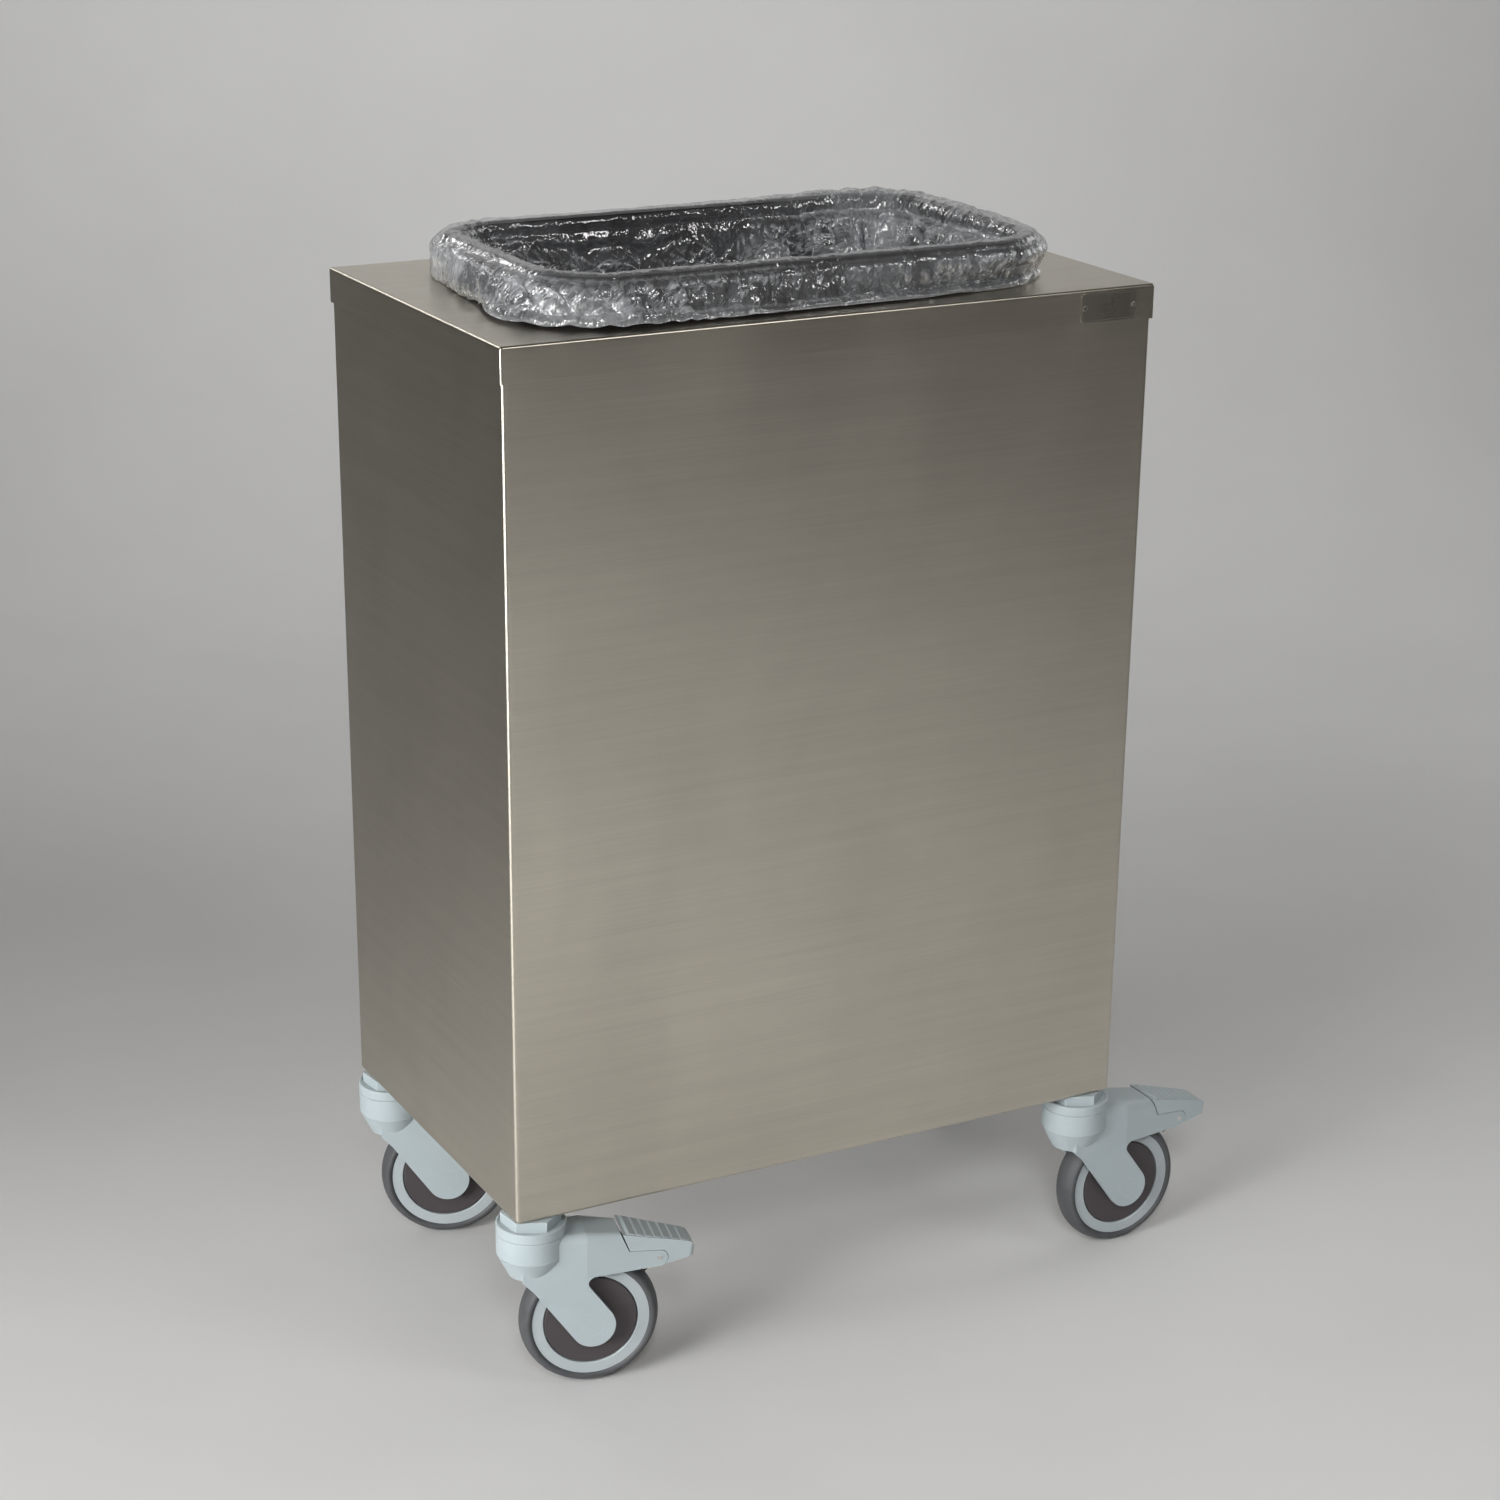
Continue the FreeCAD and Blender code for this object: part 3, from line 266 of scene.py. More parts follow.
def tyre_rubber(name):
    """Grey thermoplastic rubber with a fine grain and scuffs on the tread."""
    nodes = Nodes(name)
    grain = nodes.noise(nodes.place["Object"], 1100, 2.0, 0.6)
    scuff = nodes.noise(nodes.place["Object"], 55, 5.0, 0.62, 0.5)
    colour = nodes.mix(nodes.span(scuff, 0.35, 0.72), TYRE_DARK, TYRE_PALE)
    # painted highlight: paler colour along the edges
    colour = nodes.mix(nodes.math("MULTIPLY", nodes.edges(1.2 * MM), 0.35), colour, RUBBER_EDGE_HIGHLIGHT)
    height = nodes.math("MULTIPLY_ADD", scuff, 0.6, grain)
    shader = nodes.principled(
        Base_Color=colour, Roughness=nodes.span(scuff, 0.3, 0.75, 0.48, 0.66), IOR=1.47,
        Normal=nodes.bump(height, 0.05 * MM, 0.5),
    )
    return nodes.finish(shader)


# ---------------------------------------------------------------- clear film

CREASE_HEIGHT = 2.0 * MM
COARSE_CELLS = 110.0                # creases per metre
FINE_CELLS = 300.0
HEAD_ON_GLOSS = 0.19
GRAZING_GLOSS = 0.8


def clear_film(name):
    """Thin clear polythene: nearly all see-through, milky where it creases or lies in layers, and
    white as a painted highlight in patches on the back wall.
    """
    nodes = Nodes(name)
    haze = nodes.noise(nodes.place["Object"], 38, 5.0, 0.62, 0.8)
    # the film's milkiness, with a painted highlight in the back wall's patches
    layers = nodes.add("ShaderNodeAttribute", attribute_name="milk_and_highlight").outputs["Fac"]
    crumpled = nodes.span(nodes.noise(nodes.place["Object"], 16, 2.0), 0.42, 0.58, 0.2, 1.0)
    crumpled = nodes.math("MAXIMUM", crumpled, nodes.span(layers, 0.1, 0.5))
    coarse = nodes.creases((0.2, 0.3, 0), (1, 1, 0.45), COARSE_CELLS)
    fine = nodes.creases((0.5, -0.6, 0.4), (1, 1, 0.5), FINE_CELLS)
    height = nodes.math("MULTIPLY", nodes.math("MULTIPLY_ADD", fine, 0.33, coarse), crumpled)
    normal = nodes.bump(height, CREASE_HEIGHT)
    edge_on = nodes.add("ShaderNodeLayerWeight", {"Blend": 0.3}).outputs["Facing"]
    milk_and_highlight = nodes.math("MULTIPLY_ADD", edge_on, 0.1, nodes.span(haze, 0.35, 0.7, 0.03, 0.13))
    milk_and_highlight = nodes.math("MULTIPLY_ADD", layers, 0.55, milk_and_highlight)
    clear = nodes.add("ShaderNodeBsdfTransparent", {"Color": (0.96, 0.965, 0.97, 1)}).outputs[0]
    white = nodes.principled(Base_Color=(0.9, 0.94, 0.99, 1), Roughness=0.3, Normal=normal)
    body = nodes.add("ShaderNodeMixShader", {0: milk_and_highlight, 1: clear, 2: white}).outputs[0]
    rough = nodes.span(haze, 0.35, 0.7, 0.04, 0.12)
    gloss = nodes.add("ShaderNodeBsdfGlossy", {"Roughness": rough, "Normal": normal}).outputs[0]
    grazing = nodes.add("ShaderNodeLayerWeight", {"Blend": 0.5, "Normal": normal}).outputs["Facing"]
    grazing = nodes.math("POWER", grazing, 5.0)
    mirror = nodes.math("MULTIPLY_ADD", grazing, GRAZING_GLOSS, HEAD_ON_GLOSS)
    shader = nodes.add("ShaderNodeMixShader", {0: mirror, 1: body, 2: gloss}).outputs[0]
    return nodes.finish(shader)


# slot: maker, then what it takes after the name
MATERIALS = {
    "stainless": (brushed_steel, (0.64, 0.597, 0.512), 0.33, 0.34),
    "stainless_lid": (brushed_steel, (0.66, 0.615, 0.525), 0.3, 0.34, 0.37),
    "nameplate": (brushed_steel, (0.52, 0.49, 0.44), 0.27, 0.16),
    "plated_steel": (plated_steel,),
    # plastics: colour, paler colour of the painted edge highlight, roughness, grain scale, grain depth
    # and dust
    "container_plastic": (
        moulded_plastic, (0.045, 0.044, 0.049), (0.1, 0.1, 0.1), 0.42, 700, 0.06 * MM),
    "caster_plastic": (
        moulded_plastic, (0.425, 0.49, 0.515), (0.6, 0.65, 0.67), 0.4, 1300, 0.03 * MM, 0.12),
    "pedal_plastic": (
        moulded_plastic, (0.435, 0.5, 0.525), (0.62, 0.67, 0.69), 0.42, 1300, 0.03 * MM, 0.12),
    "wheel_plastic": (
        moulded_plastic, (0.43, 0.48, 0.5), (0.56, 0.6, 0.62), 0.45, 1200, 0.03 * MM),
    "wheel_cover": (
        moulded_plastic, (0.062, 0.052, 0.056), (0.12, 0.11, 0.11), 0.48, 1500, 0.05 * MM),
    "tyre_rubber": (tyre_rubber,),
    "brake_block": (
        moulded_plastic, (0.02, 0.02, 0.022), (0.06, 0.06, 0.06), 0.6, 900, 0.05 * MM),
    "bag_film": (clear_film,),
}


def dress_nodes(finishes):
    """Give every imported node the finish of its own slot, and the lid its slightly brighter one."""
    for part in frame["record"]["subparts"]:
        mesh = frame["nodes"][part["node"]].data
        finish = "stainless_lid" if part["node"] == "lid" else part["material_slot"]
        mesh.materials.clear()
        mesh.materials.append(finishes[finish])


# ---------------------------------------------------------------- the film bag

FILM_SEED = 7
FILM_COLUMNS = 900
CUFF_STEPS = 5                      # rows of mesh between two stations of the cuff's profile
CUFF_ROOM = 1.0 * MM                # from the rim's outer edge to the film
INSIDE_ROOM = 1.2 * MM              # from the container's inside to the film
INSIDE_START = 14 * MM              # below the rim, where the profile ends and the wall rows start
BOTTOM_ROWS = 16
HEM_LIFT = 0.6 * MM                 # least height of the cuff above the lid
MOST_REACH = 33 * MM                # furthest that the hem lies out from the rim
FINE_GAP = 1.7 * MM                 # between rows down the wall, as far as they can be seen
COARSE_GAP = 9 * MM                 # at most, further down
SEEN_DEPTH = 130 * MM


def smooth_step(low, high, number):
    """0 at low, 1 at high and a smooth ramp between them."""
    share = np.clip((number - low) / (high - low), 0, 1)
    return share * share * (3 - 2 * share)


def near(spot_x, spot_y, x, y, reach):
    """1 at a spot on the rim, falling to 0 over reach."""
    return np.exp(-((x - spot_x) ** 2 + (y - spot_y) ** 2) / reach ** 2)


def lattice(across, along, cell_across, cell_along):
    """Cell numbers and places inside the cells of a grid that wraps round the loop."""
    columns = max(3, round(LOOP_LENGTH / cell_across))
    place_across = across / LOOP_LENGTH * columns
    place_along = along / cell_along + 3
    rows = int(place_along.max()) + 6
    return columns, rows, place_across, place_along


def drift(across, along, cell_across, cell_along, seed):
    """Smooth noise from -1 to 1 that wraps round the loop."""
    columns, rows, place_across, place_along = lattice(across, along, cell_across, cell_along)
    values = np.random.default_rng(seed).uniform(-1, 1, (columns, rows))
    column = np.floor(place_across).astype(int)
    row = np.floor(place_along).astype(int)
    share_across = smooth_step(0, 1, place_across - column)
    share_along = smooth_step(0, 1, place_along - row)
    here = values[column % columns, row] * (1 - share_across)
    here = here + values[(column + 1) % columns, row] * share_across
    after = values[column % columns, row + 1] * (1 - share_across)
    after = after + values[(column + 1) % columns, row + 1] * share_across
    return here * (1 - share_along) + after * share_along


def planes(across, along, cell_across, cell_along, seed, lean=0.0):
    """A crumpled sheet's height, 0 to 1: flat three-cornered facets that meet in straight creases."""
    warp_across = drift(across, along, 1.9 * cell_across, 1.9 * cell_along, seed + 100)
    warp_along = drift(across, along, 1.6 * cell_across, 1.6 * cell_along, seed + 200)
    columns, rows, place_across, place_along = lattice(across, along, cell_across, cell_along)
    place_across = place_across + 0.5 * warp_across + lean * place_along
    place_along = place_along + 0.5 * warp_along
    generator = np.random.default_rng(seed)
    heights = generator.random((columns, rows))
    turned = generator.random((columns, rows)) > 0.5
    column = np.floor(place_across).astype(int)
    row = np.clip(np.floor(place_along).astype(int), 0, rows - 2)
    u = place_across - column
    v = np.clip(place_along - row, 0, 1)
    column = column % columns
    after = (column + 1) % columns
    low_left, low_right = heights[column, row], heights[after, row]
    high_left, high_right = heights[column, row + 1], heights[after, row + 1]
    one = np.where(
        u > v,
        low_left + u * (low_right - low_left) + v * (high_right - low_right),
        low_left + v * (high_left - low_left) + u * (high_right - high_left),
    )
    other = np.where(
        u + v < 1,
        low_left + u * (low_right - low_left) + v * (high_left - low_left),
        high_right + (1 - u) * (high_left - high_right) + (1 - v) * (low_right - high_right),
    )
    return np.where(turned[column, row], one, other)


def folds(across, along, spacing, skew, seed):
    """Long sharp folds that run along the film, 0 to 1, uneven in spacing."""
    count = round(LOOP_LENGTH / spacing)
    phase = across / LOOP_LENGTH * count + along * skew
    phase = phase + 1.1 * drift(across, along, spacing * 2.6, 0.09, seed)
    phase = phase + 0.5 * drift(across, along, spacing * 1.1, 0.05, seed + 1)
    return 1 - 2 * np.abs(phase - np.floor(phase) - 0.5)


def rim_loop():
    """Columns round the rim: place, corner centre as a share of the box, and outward direction."""
    half_x, half_y = RIM_HALF[0] - RIM_CORNER, RIM_HALF[1] - RIM_CORNER
    arc = RIM_CORNER * math.pi / 2
    runs = [2 * half_x, arc, 2 * half_y, arc] * 2
    ends = np.concatenate([[0], np.cumsum(runs)])
    place = (np.arange(FILM_COLUMNS) + 0.5) / FILM_COLUMNS * ends[-1]
    corners = [(-1, -1), (1, -1), (1, 1), (-1, 1)]
    centre = np.zeros((FILM_COLUMNS, 2))
    outward = np.zeros((FILM_COLUMNS, 2))
    for index in range(FILM_COLUMNS):
        run = int(np.searchsorted(ends, place[index], side="right")) - 1
        share = (place[index] - ends[run]) / runs[run]
        side = run // 2
        if run % 2 == 0:
            start = np.array(corners[side], float)
            end = np.array(corners[(side + 1) % 4], float)
            centre[index] = start + (end - start) * share
            angle = -math.pi / 2 + side * math.pi / 2
        else:
            centre[index] = corners[(side + 1) % 4]
            angle = -math.pi / 2 + (side + share) * math.pi / 2
        outward[index] = (math.cos(angle), math.sin(angle))
    return place, centre, outward


def film_profile(hem_reach, hem_lift, bulge, tuck):
    """Offsets from the inside of the neck, and heights, from the hem to the wall, per column."""
    edge = RIM_DROP + CUFF_ROOM
    still = np.zeros_like(hem_reach)
    spread = np.clip(hem_reach, 0, None)
    stations = [
        (edge + hem_reach, LID_TOP + hem_lift),
        (edge + 0.66 * spread + 0.2 * hem_reach, LID_TOP + 0.9 * MM + 0.5 * hem_lift),
        (edge + 0.30 * spread + bulge - tuck, LID_TOP + 2.2 * MM + 0.6 * hem_lift),
        (edge + 0.16 * spread + 1.5 * bulge - 1.2 * tuck, LID_TOP + 8 * MM + 0.3 * hem_lift),
        (edge + 0.08 * spread + 1.2 * bulge - 0.6 * tuck, LID_TOP + 16 * MM + still),
        (edge + 0.5 * bulge, LID_TOP + 25 * MM + still),
        (edge - 0.3 * MM + 0.15 * bulge, RIM_TOP - 5 * MM + still),
        (edge - 4.5 * MM + still, RIM_TOP + 0.6 * MM + still),
        (edge - 10 * MM + still, RIM_TOP + 0.9 * MM + still),
        (edge - 15.5 * MM + still, RIM_TOP + 0.5 * MM + still),
        (-1.0 * MM + still, RIM_TOP - 5 * MM + still),
        (-INSIDE_ROOM + still, RIM_TOP - INSIDE_START + still),
    ]
    return np.array(stations)


def through(stations, steps):
    """Smooth curve through the stations, with the same number of steps between each pair."""
    before_first = 2 * stations[:1] - stations[1:2]
    after_last = 2 * stations[-1:] - stations[-2:-1]
    padded = np.concatenate([before_first, stations, after_last])
    rows = []
    for index in range(len(stations) - 1):
        before, start, end, after = padded[index:index + 4]
        for step in range(steps):
            t = step / steps
            rows.append(0.5 * (
                2 * start + (end - before) * t + (2 * before - 5 * start + 4 * end - after) * t * t
                + (3 * start - 3 * end + after - before) * t ** 3
            ))
    rows.append(stations[-1])
    return np.array(rows)


def grid_normals(points):
    """Normals of a grid of points that wraps round the loop, away from the container's wall."""
    along = np.gradient(points, axis=0)
    across = np.roll(points, -1, axis=1) - np.roll(points, 1, axis=1)
    normals = np.cross(across, along)
    return normals / np.maximum(np.linalg.norm(normals, axis=2, keepdims=True), 1e-9)


def film_rest_shape(place, centre, outward):
    """The film before it is crumpled: rows from the hem, over the rim and down to the foot."""
    still = np.zeros_like(place)
    rim_x = centre[:, 0] * (RIM_HALF[0] - RIM_CORNER) + RIM_CORNER * outward[:, 0]
    rim_y = centre[:, 1] * (RIM_HALF[1] - RIM_CORNER) + RIM_CORNER * outward[:, 1]
    reach = -3 * MM + 27 * MM * near(-0.13, -0.1445, rim_x, rim_y, 0.15)
    reach = reach + 17 * MM * near(0.07, -0.1445, rim_x, rim_y, 0.10)
    reach = reach + 15 * MM * near(-0.24, -0.1, rim_x, rim_y, 0.07)
    reach = reach + 10 * MM * near(0.05, 0.1445, rim_x, rim_y, 0.2)
    reach = reach + 4 * MM * drift(place, still, 0.11, 1, FILM_SEED)
    reach = reach + 1.2 * MM * drift(place, still, 0.04, 1, FILM_SEED + 1)
    reach = np.minimum(reach, MOST_REACH)
    wander = 1 + drift(place, still, 0.08, 1, FILM_SEED + 2)
    lift = 0.9 * MM + 1.6 * MM * smooth_step(6 * MM, 0, reach) * wander
    front_right = near(0.19, -0.1445, rim_x, rim_y, 0.14)
    left_end = near(-0.241, 0, rim_x, rim_y, 0.16)
    bulge = 1.6 * MM + 1.6 * MM * drift(place, still, 0.07, 1, FILM_SEED + 3)
    bulge = bulge * (1 - 0.9 * front_right) + 2.0 * MM * left_end
    tucks = smooth_step(0.1, 0.7, drift(place, still, 0.08, 1, FILM_SEED + 4))
    tuck = 6.5 * MM * front_right + 3.0 * MM * tucks
    upper = through(film_profile(reach, lift, bulge, tuck), CUFF_STEPS)
    offset, height = upper[:, 0], upper[:, 1]
    neck = np.array([NECK_HALF[0], NECK_HALF[1], NECK_CORNER])
    foot = np.array(FOOT_SIZE)
    rows = []
    for row in range(len(offset)):
        radius = NECK_CORNER + offset[row]
        x = centre[:, 0] * (neck[0] - neck[2]) + radius * outward[:, 0]
        y = centre[:, 1] * (neck[1] - neck[2]) + radius * outward[:, 1]
        rows.append(np.stack([x, y, height[row]], axis=1))
    level = RIM_TOP - INSIDE_START
    floor = CONTAINER_FLOOR + INSIDE_ROOM
    gap = FINE_GAP
    while level - gap > floor:
        level -= gap
        if level < RIM_TOP - SEEN_DEPTH:
            gap = min(gap * 1.07, COARSE_GAP)
        share = (level - floor) / (RIM_TOP - floor)
        half_x, half_y, corner = foot + (neck - foot) * share - INSIDE_ROOM
        x = centre[:, 0] * (half_x - corner) + corner * outward[:, 0]
        y = centre[:, 1] * (half_y - corner) + corner * outward[:, 1]
        rows.append(np.stack([x, y, np.full_like(x, level)], axis=1))
    wall_rows = len(rows)
    for share in np.linspace(0.06, 1, BOTTOM_ROWS):
        last = rows[wall_rows - 1]
        x = last[:, 0] * (1 - 0.62 * share)
        y = last[:, 1] * (1 - share)
        rows.append(np.stack([x, y, np.full_like(x, floor)], axis=1))
    return np.array(rows), len(offset), wall_rows


def zones(points, across, cuff_rows, wall_rows):
    """Where each point lies: how far along the film and below the rim, and in which parts of it."""
    at = SimpleNamespace()
    steps = np.linalg.norm(np.diff(points, axis=0), axis=2).mean(axis=1)
    down = np.concatenate([[0], np.cumsum(steps)])
    at.along = np.repeat(down[:, None], points.shape[1], axis=1)
    at.across = np.repeat(across[None, :], points.shape[0], axis=0)
    x, y, z = points[..., 0], points[..., 1], points[..., 2]
    at.row = np.arange(points.shape[0])[:, None] + 0 * at.across
    at.inside = smooth_step(cuff_rows - 10, cuff_rows + 4, at.row)
    at.cuff = 1 - smooth_step(cuff_rows - 30, cuff_rows - 24, at.row)
    at.rim_top = (1 - at.inside) * (1 - at.cuff)
    at.hem = 1 - smooth_step(0, 7, at.row)
    at.wall = at.inside * (1 - smooth_step(wall_rows - 4, wall_rows, at.row))
    at.bottom = smooth_step(wall_rows - 4, wall_rows + 2, at.row)
    depth = np.clip(RIM_TOP - z, 0, None) * at.inside
    at.depth = depth * (1 + 0.4 * drift(at.across, at.along, 0.055, 0.3, FILM_SEED + 9)
                        + 0.25 * drift(at.across, at.along, 0.02, 0.3, FILM_SEED + 8))
    at.slack = smooth_step(14 * MM, 130 * MM, at.depth)
    band_end = 1 - 0.5 * smooth_step(90 * MM, 130 * MM, at.depth)
    at.band = smooth_step(22 * MM, 40 * MM, at.depth) * band_end
    at.left_end = near(-0.235, -0.04, x, y, 0.14)
    at.right_end = near(0.235, 0.03, x, y, 0.12)
    at.rear_right = near(0.22, 0.10, x, y, 0.12)
    at.rear_left = near(-0.23, 0.10, x, y, 0.08)
    at.front_left = near(-0.21, -0.11, x, y, 0.12)
    corner = np.abs(x) / NECK_HALF[0] + np.abs(y) / NECK_HALF[1] - 1.5
    at.corner = np.clip(corner, 0, 0.5) * 2
    at.back_patches = near(-0.055, NECK_HALF[1], x, y, 0.075) + near(0.095, NECK_HALF[1], x, y, 0.05)
    gathered = at.rear_right + 0.9 * at.right_end + 0.5 * at.rear_left + 0.25 * at.front_left
    at.gathered = np.clip(gathered, 0, 1.1)
    return at


def slack_push(at):
    """How far slack bulges and long folds hold the film off the wall."""
    push = at.slack * (7 * MM + 10 * MM * drift(at.across, at.along, 0.17, 0.13, FILM_SEED + 10))
    push = push + at.slack * at.corner * 12 * MM
    patches = np.clip(at.back_patches, 0, 1)
    push = push + patches * 20 * MM * smooth_step(26 * MM, 95 * MM, at.depth)
    right = 10 * MM * at.rear_right + 5 * MM * at.right_end
    push = push + smooth_step(8 * MM, 60 * MM, at.depth) * right
    long_folds = folds(at.across, at.along, 0.041, 2.5, FILM_SEED + 20) ** 1.5
    cross_folds = folds(at.across, at.along, 0.023, -6.0, FILM_SEED + 24) ** 1.3
    fold_depth = at.inside * (
        0.8 * MM + 3.5 * MM * at.rear_right + 2.5 * MM * at.right_end
        + 2 * MM * at.rear_left + 3 * MM * at.slack)
    uneven = 0.65 + 0.6 * drift(at.across, at.along, 0.07, 0.2, FILM_SEED + 22)
    push = push + fold_depth * long_folds * uneven
    push = push + 0.5 * fold_depth * cross_folds
    draped = at.cuff * (0.3 * MM + 2.6 * MM * at.front_left)
    push = push + draped * folds(at.across, at.along, 0.031, 16.0, FILM_SEED + 26) ** 1.4
    return np.clip(push, 0, None)


def facet_rise(at):
    """How far crumpled facets and gathers stand up from the slack film."""
    patch = smooth_step(-0.3, 0.3, drift(at.across, at.along, 0.12, 0.06, FILM_SEED + 30))
    busy = 0.12 + 0.55 * patch + at.band * (0.3 * patch + 1.2 * at.back_patches) + 0.12 * at.gathered
    busy = np.clip(busy, 0, 1.15)
    busy = busy * (1 - 0.75 * smooth_step(0.15, 0.28, at.depth))
    broad = planes(at.across, at.along, 0.062, 0.05, FILM_SEED + 40, 0.35)
    middle = planes(at.across, at.along, 0.024, 0.021, FILM_SEED + 41, -0.4)
    small = planes(at.across, at.along, 0.0105, 0.0095, FILM_SEED + 42, 0.5)
    tiny = planes(at.across, at.along, 0.0052, 0.0058, FILM_SEED + 43, -0.3)
    wide_gathers = planes(at.across, at.along, 0.0085, 0.045, FILM_SEED + 46, 0.25)
    fine_gathers = planes(at.across, at.along, 0.005, 0.02, FILM_SEED + 47, -0.3)
    gathers = 0.6 * wide_gathers + 0.4 * fine_gathers
    streaks = planes(at.across, at.along, 0.0065, 0.03, FILM_SEED + 48, 0.6)
    full = np.clip(at.gathered, 0, 1)
    wall = at.wall * smooth_step(4 * MM, 18 * MM, at.depth)
    rise = wall * (1.5 * MM * broad + 1.2 * MM * small + busy * (1 - 0.35 * full) * (
        12 * MM * broad + 10 * MM * middle + 5 * MM * small + 2.6 * MM * tiny + 2 * MM * streaks))
    rise = rise + wall * full * (1 - 0.5 * at.slack) * 13 * MM * gathers
    rise = rise + at.cuff * (0.55 + 0.45 * patch + 0.3 * at.front_left) * (
        3.5 * MM * broad + 3.6 * MM * middle + 3 * MM * small + 2.1 * MM * tiny + MM * streaks)
    rise = rise + at.cuff * (0.4 + 0.8 * at.front_left + 0.5 * at.right_end) * 4.5 * MM * gathers
    over = 0.5 * at.inside * (1 - smooth_step(5 * MM, 40 * MM, at.depth))
    over = at.rim_top + over + 0.3 * at.cuff
    over_facets = 0.7 * middle + 0.8 * small + 0.8 * tiny
    rise = rise + over * (0.9 * MM + 1.2 * MM * at.gathered) * over_facets
    rise = rise + over * (0.3 * MM + 2 * MM * at.gathered) * gathers
    rise = rise + at.bottom * (9 * MM * broad + 5 * MM * middle)
    return rise * (1 - 0.8 * at.hem)


def milkiness_and_highlight(at, rise):
    """How white the film looks, 0 to 1: along creases, at the hem and where it lies in layers, and in
    patches on the back wall as a painted highlight.
    """
    beside = np.roll(rise, 1, 1) + np.roll(rise, -1, 1) + np.roll(rise, 1, 0) + np.roll(rise, -1, 0)
    sharp = smooth_step(0.05 * MM, 0.3 * MM, np.abs(rise - 0.25 * beside))
    lobe = smooth_step(-0.3, 0.6, drift(at.across, at.along, 0.03, 0.045, FILM_SEED + 50))
    milk_and_highlight = 0.75 * sharp + 0.8 * at.hem ** 2 + at.gathered * (0.1 + 0.4 * lobe) * (1 - at.slack)
    milk_and_highlight = milk_and_highlight + at.cuff * (0.12 + 0.24 * lobe + 0.4 * at.left_end * lobe)
    # painted highlight: the back wall's patches are made white
    milk_and_highlight = milk_and_highlight + 0.35 * at.band * at.back_patches * lobe
    return np.clip(milk_and_highlight, 0, 1)


def crumple(points, across, cuff_rows, wall_rows):
    """Push the film off the wall in bulges, folds and facets, and say how milky it is where, with a
    painted highlight on the back wall.
    """
    at = zones(points, across, cuff_rows, wall_rows)
    points = points + grid_normals(points) * slack_push(at)[..., None]
    rise = facet_rise(at)
    points = points + grid_normals(points) * np.clip(rise, 0, None)[..., None]
    above_lid = np.maximum(points[..., 2], LID_TOP + HEM_LIFT)
    points[..., 2] = np.where(at.row < cuff_rows, above_lid, points[..., 2])
    return points, milkiness_and_highlight(at, rise)


def make_film_bag(material):
    """One open sheet: hem on the lid, cuff over the rim, slack walls and a closed bottom."""
    place, centre, outward = rim_loop()
    points, cuff_rows, wall_rows = film_rest_shape(place, centre, outward)
    points, milk_and_highlight = crumple(points, place, cuff_rows, wall_rows)
    rows, columns = points.shape[:2]
    faces = []
    for row in range(rows - 1):
        for column in range(columns):
            after = (column + 1) % columns
            faces.append((row * columns + column, row * columns + after,
                          (row + 1) * columns + after, (row + 1) * columns + column))
    mesh = bpy.data.meshes.new("bag_film")
    mesh.from_pydata(points.reshape(-1, 3).tolist(), [], faces)
    mesh.polygons.foreach_set("use_smooth", [True] * len(faces))
    attribute = mesh.attributes.new("milk_and_highlight", "FLOAT", "POINT")
    attribute.data.foreach_set("value", milk_and_highlight.reshape(-1).astype(np.float32))
    mesh.materials.append(material)
    film = bpy.data.objects.new("bag_film", mesh)
    bpy.context.scene.collection.objects.link(film)
    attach(film, "bag_liner")
    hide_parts("bag_liner")


# ---------------------------------------------------------------- studio

def make_stage():
    """One pale sheet: a floor that curves up into a backdrop."""
    half = front = 7.0
    back = 3.4
    bend = 1.6
    top = 5.5
    steps = 24
    line = [(-front, 0.0), (back - bend, 0.0)]
    for index in range(1, steps + 1):
        angle = index / steps * math.pi / 2
        line.append((back - bend + bend * math.sin(angle), bend - bend * math.cos(angle)))
    line.append((back, top))
    points = [(side * half, y, z) for side in (-1, 1) for y, z in line]
    count = len(line)
    faces = [(i, i + count, i + count + 1, i + 1) for i in range(count - 1)]
    mesh = bpy.data.meshes.new("backdrop")
    mesh.from_pydata(points, [], faces)
    mesh.polygons.foreach_set("use_smooth", [True] * len(faces))
    stage = bpy.data.objects.new("backdrop", mesh)
    stage.rotation_euler.z = math.radians(CAMERA_TURN)
    bpy.context.scene.collection.objects.link(stage)
    nodes = Nodes("backdrop_paper")
    grain = nodes.noise(nodes.place["Object"], 3.0, 5.0)
    colour = nodes.mix(nodes.span(grain, 0.3, 0.7), (0.66, 0.66, 0.658, 1), (0.69, 0.69, 0.688, 1))
    mesh.materials.append(nodes.finish(nodes.principled(Base_Color=colour, Roughness=0.75)))


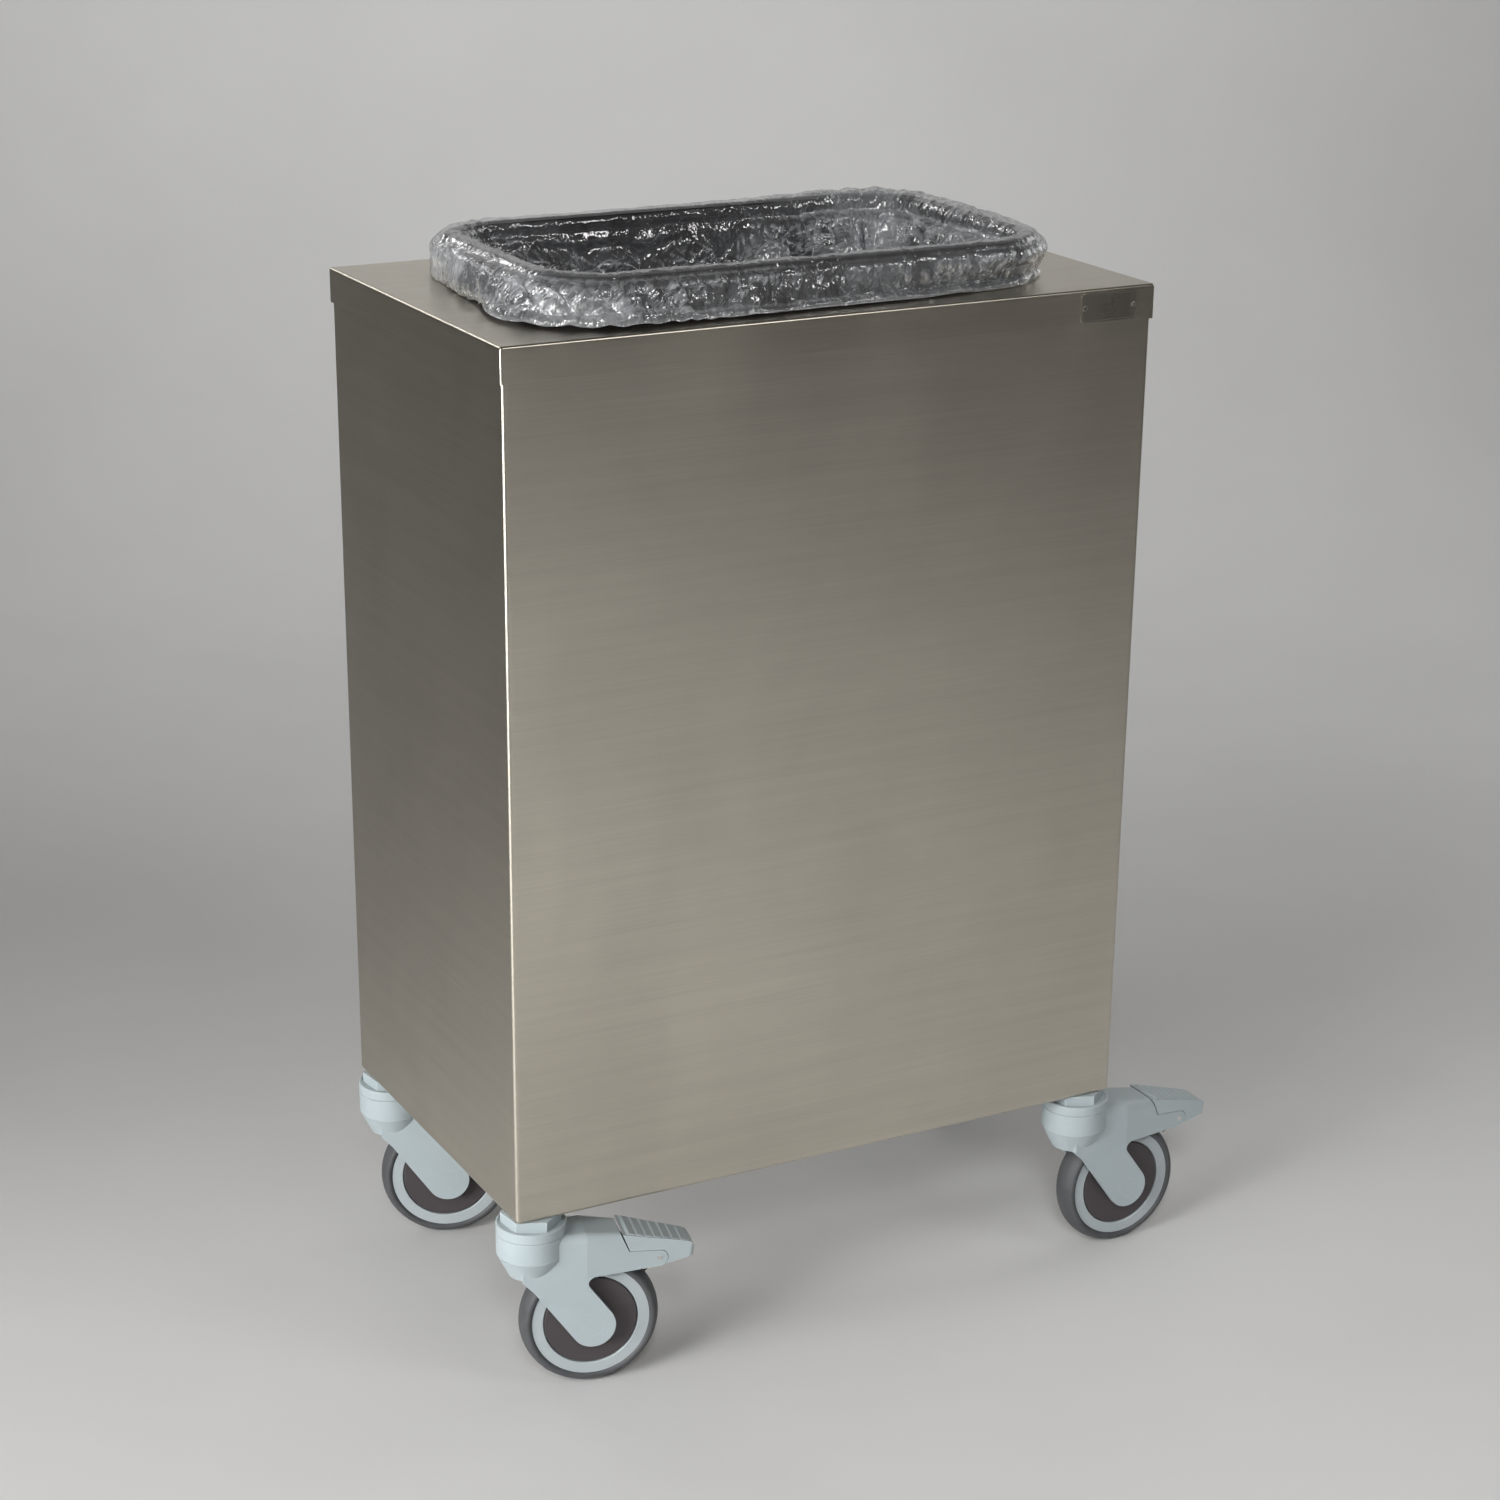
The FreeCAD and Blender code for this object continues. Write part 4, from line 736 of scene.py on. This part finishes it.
def add_light(name, place, aim, width, height, power, spread):
    """An oblong area light at place, turned towards aim; spread is in degrees."""
    data = bpy.data.lights.new(name, "AREA")
    data.shape = "RECTANGLE"
    data.size = width
    data.size_y = height
    data.energy = power
    data.spread = math.radians(spread)
    light = bpy.data.objects.new(name, data)
    light.location = place
    light.rotation_euler = (Vector(aim) - Vector(place)).to_track_quat("-Z", "Y").to_euler()
    bpy.context.scene.collection.objects.link(light)


# name: place, aim, width, height, power, spread
LIGHTS = {
    "key": ((-2.7, -1.5, 2.2), (0, 0, 0.4), 1.2, 1.2, 20, 140),
    "low_left": ((-2.2, -0.6, 0.6), (0, 0, 0.05), 1.2, 0.5, 9, 80),
    "right": ((2.8, 0.5, 1.5), (0, 0, 0.4), 1.5, 1.8, 9, 140),
    "rear_left": ((-1.1, 2.7, 2.3), (-0.1, 0, 0.9), 1.5, 0.35, 5, 120),
    "floor_wash": ((-1.3, -2.9, 2.3), (0.2, -1.9, 0), 0.7, 0.7, 18, 70),
    "front_high": ((1.4, -2.6, 3.1), (0, 0, 0.9), 1.2, 0.7, 8, 130),
    "wall_wash": ((-1.2, 1.0, 3.4), (0.9, 3.4, 1.6), 2.0, 0.8, 22, 100),
    "wall_top": ((0.6, 1.2, 4.2), (2.3, 3.3, 1.9), 2.6, 0.8, 20, 120),
}
KEY_COLOUR = (1.0, 0.99, 0.97)
WORLD_GREY = (0.022, 0.018, 0.014, 1)


def make_lights():
    """Area lights round the bin, on a nearly black world."""
    for name, (place, aim, width, height, power, spread) in LIGHTS.items():
        add_light(name, place, aim, width, height, power, spread)
    bpy.data.lights["key"].color = KEY_COLOUR
    world = bpy.data.worlds.new("studio")
    world.use_nodes = True
    world.node_tree.nodes["Background"].inputs["Color"].default_value = WORLD_GREY
    world.node_tree.nodes["Background"].inputs["Strength"].default_value = 1.0
    bpy.context.scene.world = world
    bpy.context.scene.view_settings.view_transform = "Standard"


# ---------------------------------------------------------------- put together

make_camera()
make_stage()
make_lights()
finishes = {slot: make(slot, *settings) for slot, (make, *settings) in MATERIALS.items()}
dress_nodes(finishes)
make_film_bag(finishes["bag_film"])
